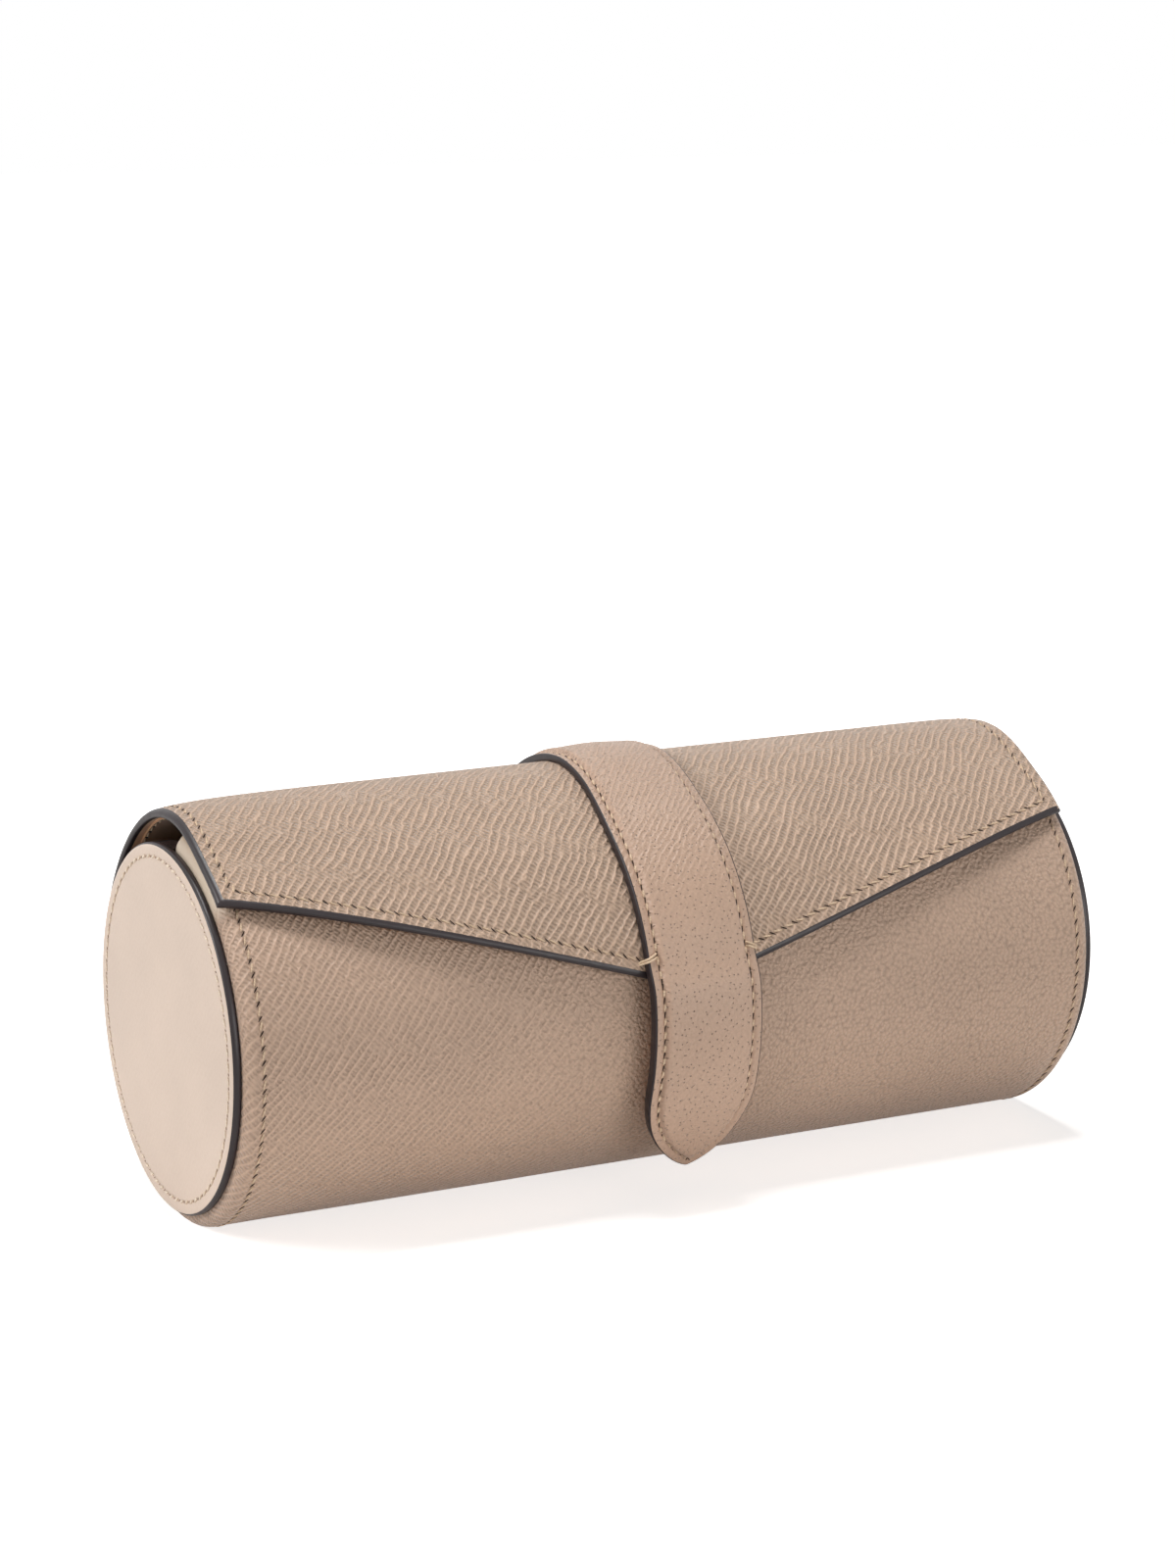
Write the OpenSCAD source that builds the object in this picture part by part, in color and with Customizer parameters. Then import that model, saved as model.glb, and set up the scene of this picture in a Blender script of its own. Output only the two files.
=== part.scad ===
// Leather roll for three watches: a stiff round case whose leather runs over the top as a V-edged flap,
// held by a strap with a hidden magnet. Lengths in mm, angles in degrees from the top towards the front.

/* [Case] */
// Outer radius of the leather body
body_r = 43; // [40:0.5:48]
// Length of the body between its two end planes
body_len = 205.4; // [190:1:230]
// Half width of the flat that the case rests on
rest_half_w = 7.5; // [5:0.5:8.5]
// Radius of the leather turned over each end
shoulder_r = 3; // [2.5:0.1:3.5]
// Width of the leather margin turned in under each end disc
turn_in = 6; // [5:0.5:9]
// Thickness of the body leather
wrap_t = 1.5; // [1.2:0.1:1.8]
// Thickness of the fibreboard tube
board_t = 1.6; // [1.3:0.1:2]
// Thickness of the suede lining
lining_t = 0.8; // [0.5:0.1:1.2]
// Angle from the top to the lip of the front wall
lip_angle = 2; // [0:1:8]
// Angle from the top back to the fold line of the flap
hinge_angle = 80; // [76:1:84]
// Thickness of the leather that binds the front lip
lip_t = 1.2; // [0.8:0.1:1.6]

/* [Ends] */
// Thickness of the leather end disc that stands proud of the body
disc_t = 1.9; // [1.4:0.1:2.6]
// Thickness of the round fibreboard at each end
end_board_t = 3.5; // [2.6:0.1:5]

/* [Inside] */
// Thickness of a padded divider
divider_t = 7; // [5:0.5:10]
// Thickness of the board inside a divider
divider_board_t = 2; // [1:0.1:3]
// Thickness of suede over the top edge of a divider board
divider_rim_t = 1.6; // [1:0.1:3]
// Depth of the divider tops below the mouth
divider_drop = 5.4; // [3:0.2:12]
// Height of a watch pillow through its crown
pillow_h = 58; // [50:1:62]
// Room between a pillow and each side of the mouth
pillow_fit = 1.7; // [1.2:0.1:4]
// Room between a pillow and each divider
bay_fit = 4.4; // [2:0.2:8]
// Room under a pillow at rest
seat_fit = 0.3; // [0.3:0.05:0.6]
// Roundness of a pillow's outline, 2 is an ellipse
pillow_power = 2.4; // [2:0.1:2.6]
// Thickness of the suede round a pillow
cover_t = 1.4; // [0.8:0.1:2]
// Thickness of a pillow's end panel
panel_t = 1.2; // [0.8:0.1:2]

/* [Flap] */
// Distance of the flap's sides from the case's end planes
flap_in = 0.3; // [0.1:0.1:2]
// Thickness of the flap leather
flap_leather_t = 0.9; // [0.7:0.05:1.2]
// Thickness of the reinforcement inside the flap
flap_core_t = 0.5; // [0.3:0.05:0.7]
// Thickness of the flap lining over the reinforcement
flap_lining_t = 0.6; // [0.4:0.05:0.9]
// Width of the flap's margin without reinforcement
flap_margin = 7; // [5:0.5:12]
// Room between the flap and the front wall
flap_fit = 0.45; // [0.35:0.05:0.8]
// Height of the flap's arch over the mouth above its place on the front wall
flap_rise = 2.9; // [1:0.1:4]
// Angle from the top back to the crest of the arch
crest_angle = 3; // [0:1:8]
// Angle at which the flap meets the front wall
land_angle = 28; // [24:1:34]
// Angle of the flap's two lower corners
corner_angle = 41.4; // [38:0.2:50]
// Angle at which the two lower edges would meet
apex_angle = 80.2; // [79:0.2:82]
// Angle of the short straight edge under the strap
blunt_angle = 75.8; // [74.6:0.2:76.2]

/* [Strap] */
// Width of the strap
strap_w = 26; // [22:0.5:32]
// Place of the strap's middle along the roll
strap_x = 0.6; // [-10:0.2:10]
// Thickness of the strap's top leather
strap_leather_t = 1.2; // [0.9:0.1:1.6]
// Thickness of the strap's backing over the flap
strap_backing_t = 1.2; // [0.8:0.1:1.6]
// Thickness of the foam that crowns the strap
strap_pad_t = 0.7; // [0.4:0.1:1]
// Width of the strap's flat sewn margin
strap_margin = 3.2; // [2.8:0.1:4]
// Angle at which the free end folds away from the flap
fold_angle = 77.5; // [77:0.1:78.2]
// Height of the free end above the body
stand_off = 2.4; // [2.2:0.1:3.2]
// Further height of the tip above the body
flick = 2; // [0.5:0.1:4]
// Thickness of the free end's lining
end_lining_t = 0.8; // [0.5:0.1:1.2]
// Thickness of the free end's stiff core
end_core_t = 1.8; // [1.7:0.1:2.4]
// Angle of the strap's tip
tip_angle = 133.8; // [128:0.2:142]
// Length of the pointed part of the strap
tip_len = 22; // [16:0.5:26]
// Angle of the strap's tail end, down the back
tail_angle = 128; // [122:1:150]
// Bare length of strap left on each side of the flap's fold line
fold_gap = 5.2; // [4.8:0.1:7]

/* [Closure] */
// Diameter of each hidden magnet
magnet_d = 12; // [8:0.5:14]
// Thickness of each hidden magnet
magnet_t = 1; // [0.8:0.05:1.1]
// Angle of the magnets
magnet_angle = 114; // [108:1:118]

/* [Stitching] */
// Width of a row of stitches
thread_w = 0.6; // [0.4:0.05:0.9]
// Depth of the row in the leather
thread_sink = 0.3; // [0.15:0.05:0.4]
// Height of the row above the leather
thread_proud = 0.1; // [0.05:0.01:0.15]
// Distance of the body's rows from the end planes
body_stitch_in = 3.7; // [3.2:0.1:5]
// Distance of the disc's row from its edge
disc_stitch_in = 3; // [2:0.1:5]
// Distance of the flap's row from its edge
flap_stitch_in = 3; // [2:0.1:4.5]
// Distance of the strap's rows from its edges
strap_stitch_in = 2; // [1.4:0.1:2.4]
// Angle of the bar tacks that bind the strap to the flap
tack_angle = 71; // [69:0.5:72]
// Length of a bar tack across the strap's edge
tack_len = 3.6; // [2.4:0.2:5]
// Width of a bar tack
tack_w = 1.4; // [0.8:0.1:2]
// Thickness of a bar tack's thread
tack_t = 0.3; // [0.2:0.05:0.4]

/* [Hidden] */
$fn = 96;

leather = "#B59C86";
pale_leather = "#C9B29E";
suede = "#A5876C";
board = "#8C7B66";
foam = "#D8CFC2";
thread = "#CDB79F";
steel = "#B8B8B8";

// Depths of the case wall's layers and the planes of its ends
axis_h = sqrt(pow(body_r, 2) - pow(rest_half_w, 2));
half_len = body_len / 2;
board_r = body_r - wrap_t - board_t;
bay_r = board_r - lining_t;
disc_r = body_r - shoulder_r;
end_board_x = half_len - end_board_t;
end_lining_x = end_board_x - lining_t;
far = 2 * body_len;

// The case wall runs from the lip down the front, under the axis and up the back to the fold line
wall_start = lip_angle;
wall_end = 360 - hinge_angle;
lip_sweep = degrees(lip_t, body_r);
leather_start = wall_start + lip_sweep;

// The mouth faces up and back, and a pillow leaves along its middle
mouth_mid = (lip_angle - hinge_angle) / 2;
mouth_half = (lip_angle + hinge_angle) / 2;
mouth_chord = bay_r * cos(mouth_half);
divider_top = mouth_chord - divider_drop;
bay_len = (2 * end_lining_x - 2 * divider_t) / 3;
bay_pitch = bay_len + divider_t;
divider_x = (bay_len + divider_t) / 2;
pillow_len = bay_len - 2 * bay_fit;
pillow_half_w = bay_r * sin(mouth_half) - pillow_fit;
pillow_mid = pillow_h / 2 + seat_fit - bay_r;
// Angle between two points of a pillow's outline
outline_step = 7.5;

// Flap
flap_t = flap_leather_t + flap_core_t + flap_lining_t;
flap_out_r = body_r + flap_fit + flap_t;
crest_h = flap_fit + flap_t + flap_rise;
flap_half = half_len - flap_in;
// Angle left free beside each fold line
slit_angle = 0.45;
flap_start = slit_angle - hinge_angle;
vee_mid = (corner_angle + apex_angle) / 2;
// Angle between two points of a bent layer's outline, the same in every layer so that they lie flat together
arc_step = 3;

// Strap
strap_t = strap_leather_t + strap_backing_t;
strap_half = strap_w / 2;
gap_angle = degrees(fold_gap, body_r);
band_start = gap_angle - hinge_angle;
band_end = fold_angle - slit_angle;
end_start = fold_angle + slit_angle;
// Angle between the strap's end at the flap's fold line and its foam
pad_end_in = 5;
end_in_r = body_r + stand_off;
end_t = end_lining_t + end_core_t + strap_leather_t;
tip_sweep = degrees(tip_len, end_in_r + end_t);
flick_start = tip_angle - tip_sweep;
tail_start = -hinge_angle - gap_angle;
tail_sweep = degrees(tip_len, body_r + strap_t);
// Fullness of the pointed outline, the points on each side of it, and how much faster an inset shortens it
tip_power = 0.6;
tip_points = 10;
tip_slope = 1.3;
// Room round each magnet, and how far a round surface falls away under its rim
magnet_room = 0.1;
magnet_dip = body_r - sqrt(pow(body_r, 2) - pow(magnet_d / 2, 2));

// Angle that a length covers at a radius
function degrees(length, r) = length / r * 180 / PI;

// Point at a radius and an angle from the top towards the front, in the plane across the roll
function at(r, a) = r * [-sin(a), cos(a)];

// Smooth climb from 0 to 1
function climb(u) = (1 - cos(180 * u)) / 2;

// Outer radius of the flap: it climbs from the fold line to the crest, then drops to the front wall
function flap_r(a) =
    a < -crest_angle
        ? body_r + crest_h * climb((a + hinge_angle) / (hinge_angle - crest_angle))
        : flap_out_r + flap_rise * climb(max(land_angle - a, 0) / (land_angle + crest_angle));

// Inner radius of the strap's free end, which bends away from the body towards its tip
function end_r(a) = end_in_r + flick * pow(max(a - flick_start, 0) / tip_sweep, 2);

// Angles of the points along a bent layer
function bent_angles(a0, a1) =
    concat([a0], [for (i = [floor(a0 / arc_step) + 1:ceil(a1 / arc_step) - 1]) i * arc_step], [a1]);

// Half width of a strap's pointed part at a distance from its tip
function tip_half(u, half, length) = half * pow(1 - pow(1 - u / length, 2), tip_power);

// Point on a pillow's outline
function pillow_at(a, shrink) = [
    (pillow_half_w - shrink) * sign(cos(a)) * pow(abs(cos(a)), 2 / pillow_power),
    (pillow_h / 2 - shrink) * sign(sin(a)) * pow(abs(sin(a)), 2 / pillow_power)
];

module on_axis() translate([0, 0, axis_h]) children();

// Extrudes an outline drawn across the roll between two places along it
module along(x0, x1) translate([x0, 0, 0]) rotate([90, 0, 90]) linear_extrude(x1 - x0) children();

// Turns a section, drawn as radius and place along the roll, from one angle to another
module swept(a0, a1) rotate([a0 - 180, 0, 0]) rotate([0, 90, 0]) rotate_extrude(angle = a1 - a0) children();

// Extrudes an outline outwards from the axis, drawn with x along the roll and -y round it at an angle
module outwards(a) rotate([a, 0, 0]) linear_extrude(far) children();

module flat_cut() translate([-far / 2, -far / 2, -axis_h - far]) cube([far, far, far]);

module rounded_section(depth) {
    r = body_r - depth;
    h = half_len - depth;
    c = shoulder_r - depth;
    translate([0, -h]) square([r - c, 2 * h]);
    translate([0, c - h]) square([r, 2 * (h - c)]);
    for (s = [-1, 1]) translate([r - c, s * (h - c)]) circle(c);
}

module band_section(r0, r1, h) translate([r0, -h]) square([r1 - r0, 2 * h]);

// Section of a layer that follows the flap, between two heights over the flap's outer surface
module layer_outline(a0, a1, r0, r1) {
    angles = bent_angles(a0, a1);
    polygon(concat([for (a = angles) at(r1 + flap_r(a), a)],
                   [for (i = [len(angles) - 1:-1:0]) at(r0 + flap_r(angles[i]), angles[i])]));
}

// Section of a layer of the strap's free end, between two heights over its inner surface
module end_outline(a0, a1, r0, r1) {
    angles = bent_angles(a0, a1);
    polygon(concat([for (a = angles) at(r1 + end_r(a), a)],
                   [for (i = [len(angles) - 1:-1:0]) at(r0 + end_r(angles[i]), angles[i])]));
}

// Case wall

module body_wrap() color(leather) on_axis() difference() {
    swept(leather_start, wall_end) difference() {
        rounded_section(0);
        rounded_section(wrap_t);
        translate([0, -half_len]) square([body_r - turn_in, body_len]);
    }
    flat_cut();
    for (s = [-1, 1]) body_row(s);
}

module case_board() color(board) on_axis() difference() {
    swept(leather_start, wall_end) difference() {
        rounded_section(wrap_t);
        translate([0, -half_len]) square([board_r, body_len]);
    }
    magnet_hole(0, body_r, magnet_d + 2 * magnet_room);
}

module case_lining() color(suede) on_axis()
    swept(leather_start, wall_end) band_section(bay_r, board_r, end_board_x);

module front_lip() color(leather) on_axis() swept(wall_start, leather_start) {
    difference() {
        rounded_section(0);
        translate([0, -half_len]) square([board_r, body_len]);
    }
    band_section(bay_r, board_r, end_board_x);
}

module body_row(side) difference() {
    swept(leather_start, wall_end)
        translate([body_r - thread_sink, side * (half_len - body_stitch_in) - thread_w / 2])
            square([thread_sink + thread_proud, thread_w]);
    flat_cut();
}

module body_thread(side) color(thread) on_axis() body_row(side);
module left_body_thread() body_thread(-1);
module right_body_thread() body_thread(1);

// Ends, drawn for the right and mirrored for the left

module to_side(side) mirror([side < 0 ? 1 : 0, 0, 0]) children();

module end_board(side) color(board) on_axis() to_side(side) difference() {
    along(end_board_x, half_len) circle(board_r);
    swept(leather_start, wall_end) difference() {
        translate([body_r - turn_in, -half_len]) square([turn_in, body_len]);
        translate([0, wrap_t - half_len]) square([body_r, body_len - 2 * wrap_t]);
    }
}
module left_end_board() end_board(-1);
module right_end_board() end_board(1);

module end_lining(side) color(suede) on_axis() to_side(side) along(end_lining_x, end_board_x) circle(bay_r);
module left_end_lining() end_lining(-1);
module right_end_lining() end_lining(1);

module disc_row() along(half_len + disc_t - thread_sink, half_len + disc_t) difference() {
    circle(disc_r - disc_stitch_in + thread_w / 2);
    circle(disc_r - disc_stitch_in - thread_w / 2);
}

module end_disc(side) color(pale_leather) on_axis() to_side(side) difference() {
    along(half_len, half_len + disc_t) circle(disc_r);
    disc_row();
}
module left_end_disc() end_disc(-1);
module right_end_disc() end_disc(1);

module disc_thread(side) color(thread) on_axis() to_side(side) disc_row();
module left_disc_thread() disc_thread(-1);
module right_disc_thread() disc_thread(1);

// Dividers

module divider_outline(top) intersection() {
    circle(bay_r);
    rotate(mouth_mid) translate([-far / 2, top - far]) square([far, far]);
}

module divider_board(side) color(board) on_axis() translate([side * divider_x, 0, 0])
    along(-divider_board_t / 2, divider_board_t / 2) divider_outline(divider_top - divider_rim_t);
module left_divider_board() divider_board(-1);
module right_divider_board() divider_board(1);

module divider_pad(side) color(suede) on_axis() translate([side * divider_x, 0, 0]) difference() {
    along(-divider_t / 2, divider_t / 2) divider_outline(divider_top);
    along(-divider_board_t / 2, divider_board_t / 2) divider_outline(divider_top - divider_rim_t);
}
module left_divider_pad() divider_pad(-1);
module right_divider_pad() divider_pad(1);

// Watch pillows, which stand along the middle of the mouth

module pillow_outline(shrink) rotate(mouth_mid) translate([0, pillow_mid])
    polygon([for (a = [0:outline_step:360 - outline_step]) pillow_at(a, shrink)]);

module in_bay(bay) on_axis() translate([bay * bay_pitch, 0, 0]) children();

module pillow_foam(bay) color(foam) in_bay(bay)
    along(panel_t - pillow_len / 2, pillow_len / 2 - panel_t) pillow_outline(cover_t);
module left_pillow_foam() pillow_foam(-1);
module middle_pillow_foam() pillow_foam(0);
module right_pillow_foam() pillow_foam(1);

module pillow_cover(bay) color(suede) in_bay(bay) along(-pillow_len / 2, pillow_len / 2) difference() {
    pillow_outline(0);
    pillow_outline(cover_t);
}
module left_pillow_cover() pillow_cover(-1);
module middle_pillow_cover() pillow_cover(0);
module right_pillow_cover() pillow_cover(1);

module pillow_panels(bay) color(leather) in_bay(bay)
    for (s = [-1, 1]) to_side(s) along(pillow_len / 2 - panel_t, pillow_len / 2) pillow_outline(cover_t);
module left_pillow_panels() pillow_panels(-1);
module middle_pillow_panels() pillow_panels(0);
module right_pillow_panels() pillow_panels(1);

// Flap

// Area of the flap inside an inset from its sides and lower edges, seen square to the lower edges
module vee(inset) {
    corner = flap_out_r * sin(corner_angle - vee_mid);
    apex = flap_out_r * sin(apex_angle - vee_mid);
    blunt = flap_out_r * sin(blunt_angle - vee_mid);
    slope = (apex - corner) / flap_half;
    side = flap_half - inset;
    drop = inset * sqrt(1 + pow(slope, 2));
    bottom = blunt - inset;
    polygon([
        [-side, far / 2], [side, far / 2],
        [side, -(apex - drop - slope * side)], [(apex - drop - bottom) / slope, -bottom],
        [-(apex - drop - bottom) / slope, -bottom], [-side, -(apex - drop - slope * side)]
    ]);
}

module vee_prism(inset) rotate([vee_mid, 0, 0]) translate([0, 0, -far / 2]) linear_extrude(far) vee(inset);

module flap_layer(a0, r0, r1, inset) intersection() {
    along(-flap_half, flap_half) layer_outline(a0, apex_angle, r0, r1);
    vee_prism(inset);
}

module flap_row() difference() {
    flap_layer(flap_start, -thread_sink, thread_proud, flap_stitch_in - thread_w / 2);
    vee_prism(flap_stitch_in + thread_w / 2);
    translate([strap_x - (strap_w + tack_len) / 2, -far / 2, -far / 2]) cube([strap_w + tack_len, far, far]);
}

module flap_core() flap_layer(flap_start + degrees(flap_margin, body_r),
    -flap_leather_t - flap_core_t, -flap_leather_t, flap_margin);

module flap_leather() color(leather) on_axis() difference() {
    flap_layer(flap_start, -flap_leather_t, 0, 0);
    flap_row();
}

module flap_reinforcement() color(board) on_axis() flap_core();

module flap_lining() color(suede) on_axis() difference() {
    flap_layer(flap_start, -flap_t, -flap_leather_t, 0);
    flap_core();
}

module flap_thread() color(thread) on_axis() flap_row();

// Strap over the flap

module strap_layer(a0, a1, r0, r1, inset)
    along(strap_x - strap_half + inset, strap_x + strap_half - inset) layer_outline(a0, a1, r0, r1);

module strap_foam() strap_layer(band_start + pad_end_in, band_end,
    strap_backing_t, strap_backing_t + strap_pad_t, strap_margin + strap_leather_t);

module strap_rows() for (s = [-1, 1])
    translate([s * (strap_half - strap_stitch_in), 0, 0])
        strap_layer(band_start, band_end, strap_t - thread_sink, strap_t + thread_proud,
            strap_half - thread_w / 2);

module strap_backing() color(suede) on_axis() strap_layer(band_start, band_end, 0, strap_backing_t, 0);

module strap_padding() color(foam) on_axis() strap_foam();

module strap_leather() color(leather) on_axis() difference() {
    union() {
        strap_layer(band_start, band_end, strap_backing_t, strap_t, 0);
        strap_layer(band_start + pad_end_in / 2, band_end, strap_t, strap_t + strap_pad_t, strap_margin);
    }
    strap_foam();
    strap_rows();
}

module strap_thread() color(thread) on_axis() strap_rows();

// Thread loops over the strap's edge where it leaves the flap
module bar_tacks() color(thread) on_axis() for (s = [-1, 1])
    translate([strap_x, 0, 0]) to_side(s) rotate([tack_angle, 0, 0])
        translate([strap_half, -tack_w / 2, flap_out_r]) {
            cube([tack_t, tack_w, strap_t + tack_t]);
            cube([tack_len / 2, tack_w, tack_t]);
            translate([-tack_len / 4, 0, strap_t]) cube([tack_len / 4, tack_w, tack_t]);
        }

// Free end of the strap

// Outline of a strap that ends in a point, seen square to the middle of its pointed part
module pointed_outline(inset) {
    half = strap_half - inset;
    length = tip_len - tip_slope * inset;
    steps = [for (i = [0:tip_points]) length * (1 - cos(90 * i / tip_points))];
    polygon(concat(
        [for (u = steps) [-tip_half(u, half, length), u + tip_len / 2 - length]],
        [[-half, far], [half, far]],
        [for (i = [tip_points:-1:1]) [tip_half(steps[i], half, length), steps[i] + tip_len / 2 - length]]
    ));
}

module strap_end_layer(r0, r1, inset, start) intersection() {
    along(strap_x - strap_half, strap_x + strap_half) end_outline(start, tip_angle + tip_sweep, r0, r1);
    translate([strap_x, 0, 0]) outwards(tip_angle - tip_sweep / 2) pointed_outline(inset);
}

module strap_end_foam() strap_end_layer(end_t - strap_leather_t, end_t - strap_leather_t + strap_pad_t,
    strap_margin + strap_leather_t, end_start);

module strap_end_row() difference() {
    strap_end_layer(end_t - thread_sink, end_t + thread_proud, strap_stitch_in - thread_w / 2, end_start);
    strap_end_layer(0, end_t + strap_pad_t, strap_stitch_in + thread_w / 2, fold_angle);
}

// Round hole or disc that faces outwards at the magnets' place
module magnet_hole(r0, r1, d) translate([strap_x, 0, 0]) rotate([magnet_angle, 0, 0])
    translate([0, 0, r0]) cylinder(h = r1 - r0, d = d);

module strap_end_lining() color(suede) on_axis() strap_end_layer(0, end_lining_t, 0, end_start);

module strap_end_core() color(board) on_axis() difference() {
    strap_end_layer(end_lining_t, end_lining_t + end_core_t, 0, end_start);
    magnet_hole(body_r, body_r + far, magnet_d + 2 * magnet_room);
}

module strap_end_padding() color(foam) on_axis() strap_end_foam();

module strap_end_leather() color(leather) on_axis() difference() {
    union() {
        strap_end_layer(end_t - strap_leather_t, end_t, 0, end_start);
        strap_end_layer(end_t, end_t + strap_pad_t, strap_margin, end_start);
    }
    strap_end_foam();
    strap_end_row();
}

module strap_end_thread() color(thread) on_axis() strap_end_row();

// Magnets: one in the case board, one in the core of the strap's free end
module body_magnet() color(steel) on_axis()
    magnet_hole(body_r - wrap_t - magnet_dip - magnet_t, body_r - wrap_t - magnet_dip, magnet_d);

module strap_end_magnet() color(steel) on_axis()
    magnet_hole(end_r(magnet_angle) + end_lining_t + magnet_dip / 2,
        end_r(magnet_angle) + end_lining_t + magnet_dip / 2 + magnet_t, magnet_d);

// Tail of the strap, sewn down the back of the case

module tail_layer(r0, r1, inset, start) intersection() {
    translate([strap_x, 0, 0]) swept(-tail_angle - tail_sweep, start) band_section(r0, r1, strap_half);
    translate([strap_x, 0, 0]) rotate([tail_sweep / 2 - tail_angle, 0, 0]) mirror([0, 1, 0])
        linear_extrude(far) pointed_outline(inset);
}

module tail_foam() tail_layer(body_r + strap_backing_t, body_r + strap_backing_t + strap_pad_t,
    strap_margin + strap_leather_t, tail_start - pad_end_in);

module tail_row() difference() {
    tail_layer(body_r + strap_t - thread_sink, body_r + strap_t + thread_proud,
        strap_stitch_in - thread_w / 2, tail_start);
    tail_layer(body_r, body_r + strap_t + strap_pad_t, strap_stitch_in + thread_w / 2, -hinge_angle);
}

module strap_tail() color(leather) on_axis() difference() {
    union() {
        tail_layer(body_r, body_r + strap_t, 0, tail_start);
        tail_layer(body_r + strap_t, body_r + strap_t + strap_pad_t, strap_margin,
            tail_start - pad_end_in / 2);
    }
    tail_foam();
    tail_row();
}

module strap_tail_padding() color(foam) on_axis() tail_foam();
module strap_tail_thread() color(thread) on_axis() tail_row();

case_board();
body_wrap();
case_lining();
front_lip();
left_end_board();
right_end_board();
left_end_lining();
right_end_lining();
left_end_disc();
right_end_disc();
left_divider_board();
right_divider_board();
left_divider_pad();
right_divider_pad();
body_magnet();
left_body_thread();
right_body_thread();
left_disc_thread();
right_disc_thread();
strap_tail();
strap_tail_padding();
strap_tail_thread();
flap_leather();
flap_reinforcement();
flap_lining();
flap_thread();
strap_leather();
strap_padding();
strap_backing();
strap_thread();
bar_tacks();
strap_end_leather();
strap_end_padding();
strap_end_core();
strap_end_lining();
strap_end_magnet();
strap_end_thread();
left_pillow_foam();
left_pillow_cover();
left_pillow_panels();
middle_pillow_foam();
middle_pillow_cover();
middle_pillow_panels();
right_pillow_foam();
right_pillow_cover();
right_pillow_panels();
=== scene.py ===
import math
import bmesh
import bpy
from mathutils import Matrix, Vector, noise
from mathutils.bvhtree import BVHTree


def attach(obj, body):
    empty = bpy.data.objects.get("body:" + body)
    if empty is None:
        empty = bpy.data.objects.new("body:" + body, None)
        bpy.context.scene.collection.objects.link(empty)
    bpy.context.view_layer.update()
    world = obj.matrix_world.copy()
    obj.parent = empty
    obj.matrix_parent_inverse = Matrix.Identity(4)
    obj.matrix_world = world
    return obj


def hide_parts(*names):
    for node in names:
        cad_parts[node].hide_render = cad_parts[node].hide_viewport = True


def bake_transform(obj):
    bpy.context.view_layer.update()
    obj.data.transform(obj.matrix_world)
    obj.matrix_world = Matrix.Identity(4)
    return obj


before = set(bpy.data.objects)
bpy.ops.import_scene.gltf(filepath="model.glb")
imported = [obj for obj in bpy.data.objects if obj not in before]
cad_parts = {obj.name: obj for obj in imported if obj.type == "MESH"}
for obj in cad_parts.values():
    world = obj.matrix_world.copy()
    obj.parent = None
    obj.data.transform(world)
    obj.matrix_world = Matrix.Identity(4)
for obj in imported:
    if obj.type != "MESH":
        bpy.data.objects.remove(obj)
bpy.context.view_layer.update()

# The camera: a long lens in front of the roll, towards its left end and a little above it,
# level and far enough away that the roll's length is hardly foreshortened.
camera = bpy.data.objects.new("camera", bpy.data.cameras.new("camera"))
bpy.context.scene.collection.objects.link(camera)
camera.location = (-0.35876, -0.70281, 0.26144)
camera.rotation_euler = (math.radians(77.41), 0, math.radians(-26.79))
camera.data.lens = 83.34
camera.data.clip_start = 0.01
bpy.context.scene.camera = camera
bpy.context.scene.view_settings.view_transform = "Standard"


# The room: a soft box high on the left, one overhead and a low one in front, and pale walls all round.
# The floor is white board, matt, which keeps the roll's soft shadow, and it has a painted glow.
def tint(code):
    """The linear colour of an sRGB hex value."""
    parts = [int(code[i:i + 2], 16) / 255 for i in (1, 3, 5)]
    return tuple(c / 12.92 if c <= 0.04045 else ((c + 0.055) / 1.055) ** 2.4 for c in parts) + (1,)


def add(tree, kind, inputs=None, **settings):
    """A new shader node with its settings. Its inputs are values, other nodes' sockets, or nodes, of
    which the first socket is meant."""
    new = tree.nodes.new("ShaderNode" + kind)
    for key, value in settings.items():
        setattr(new, key, value)
    for key, value in (inputs or {}).items():
        if isinstance(value, bpy.types.Node):
            value = value.outputs[0]
        if isinstance(value, bpy.types.NodeSocket):
            tree.links.new(value, new.inputs[key])
        else:
            new.inputs[key].default_value = value
    return new


def new_material(name):
    """A new material, and its node tree with nothing in it."""
    material = bpy.data.materials.new(name)
    material.use_nodes = True
    material.node_tree.nodes.clear()
    return material, material.node_tree


def mesh_of(bm, name):
    """The bmesh, when it is done, as a mesh of this name."""
    mesh = bpy.data.meshes.new(name)
    bm.to_mesh(mesh)
    bm.free()
    return mesh


def put(name, data):
    """A new object in the scene."""
    new = bpy.data.objects.new(name, data)
    bpy.context.scene.collection.objects.link(new)
    return new


world = bpy.data.worlds.new("pale_room")
bpy.context.scene.world = world
world.use_nodes = True
room = world.node_tree
room.nodes.clear()
rays = add(room, "LightPath")
seen = add(room, "Math", {0: rays.outputs["Is Camera Ray"], 1: rays.outputs["Is Glossy Ray"]},
           operation="MAXIMUM")
seen = add(room, "Math", {0: seen, 1: rays.outputs["Is Transmission Ray"]}, operation="MAXIMUM")
ambient = add(room, "Background", {"Color": tint("#FFFFFF"), "Strength": 0.07})
backdrop = add(room, "Background", {"Color": tint("#FFFFFF"), "Strength": 1.0})
walls = add(room, "MixShader", {0: seen, 1: ambient, 2: backdrop})
add(room, "OutputWorld", {"Surface": walls})

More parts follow.
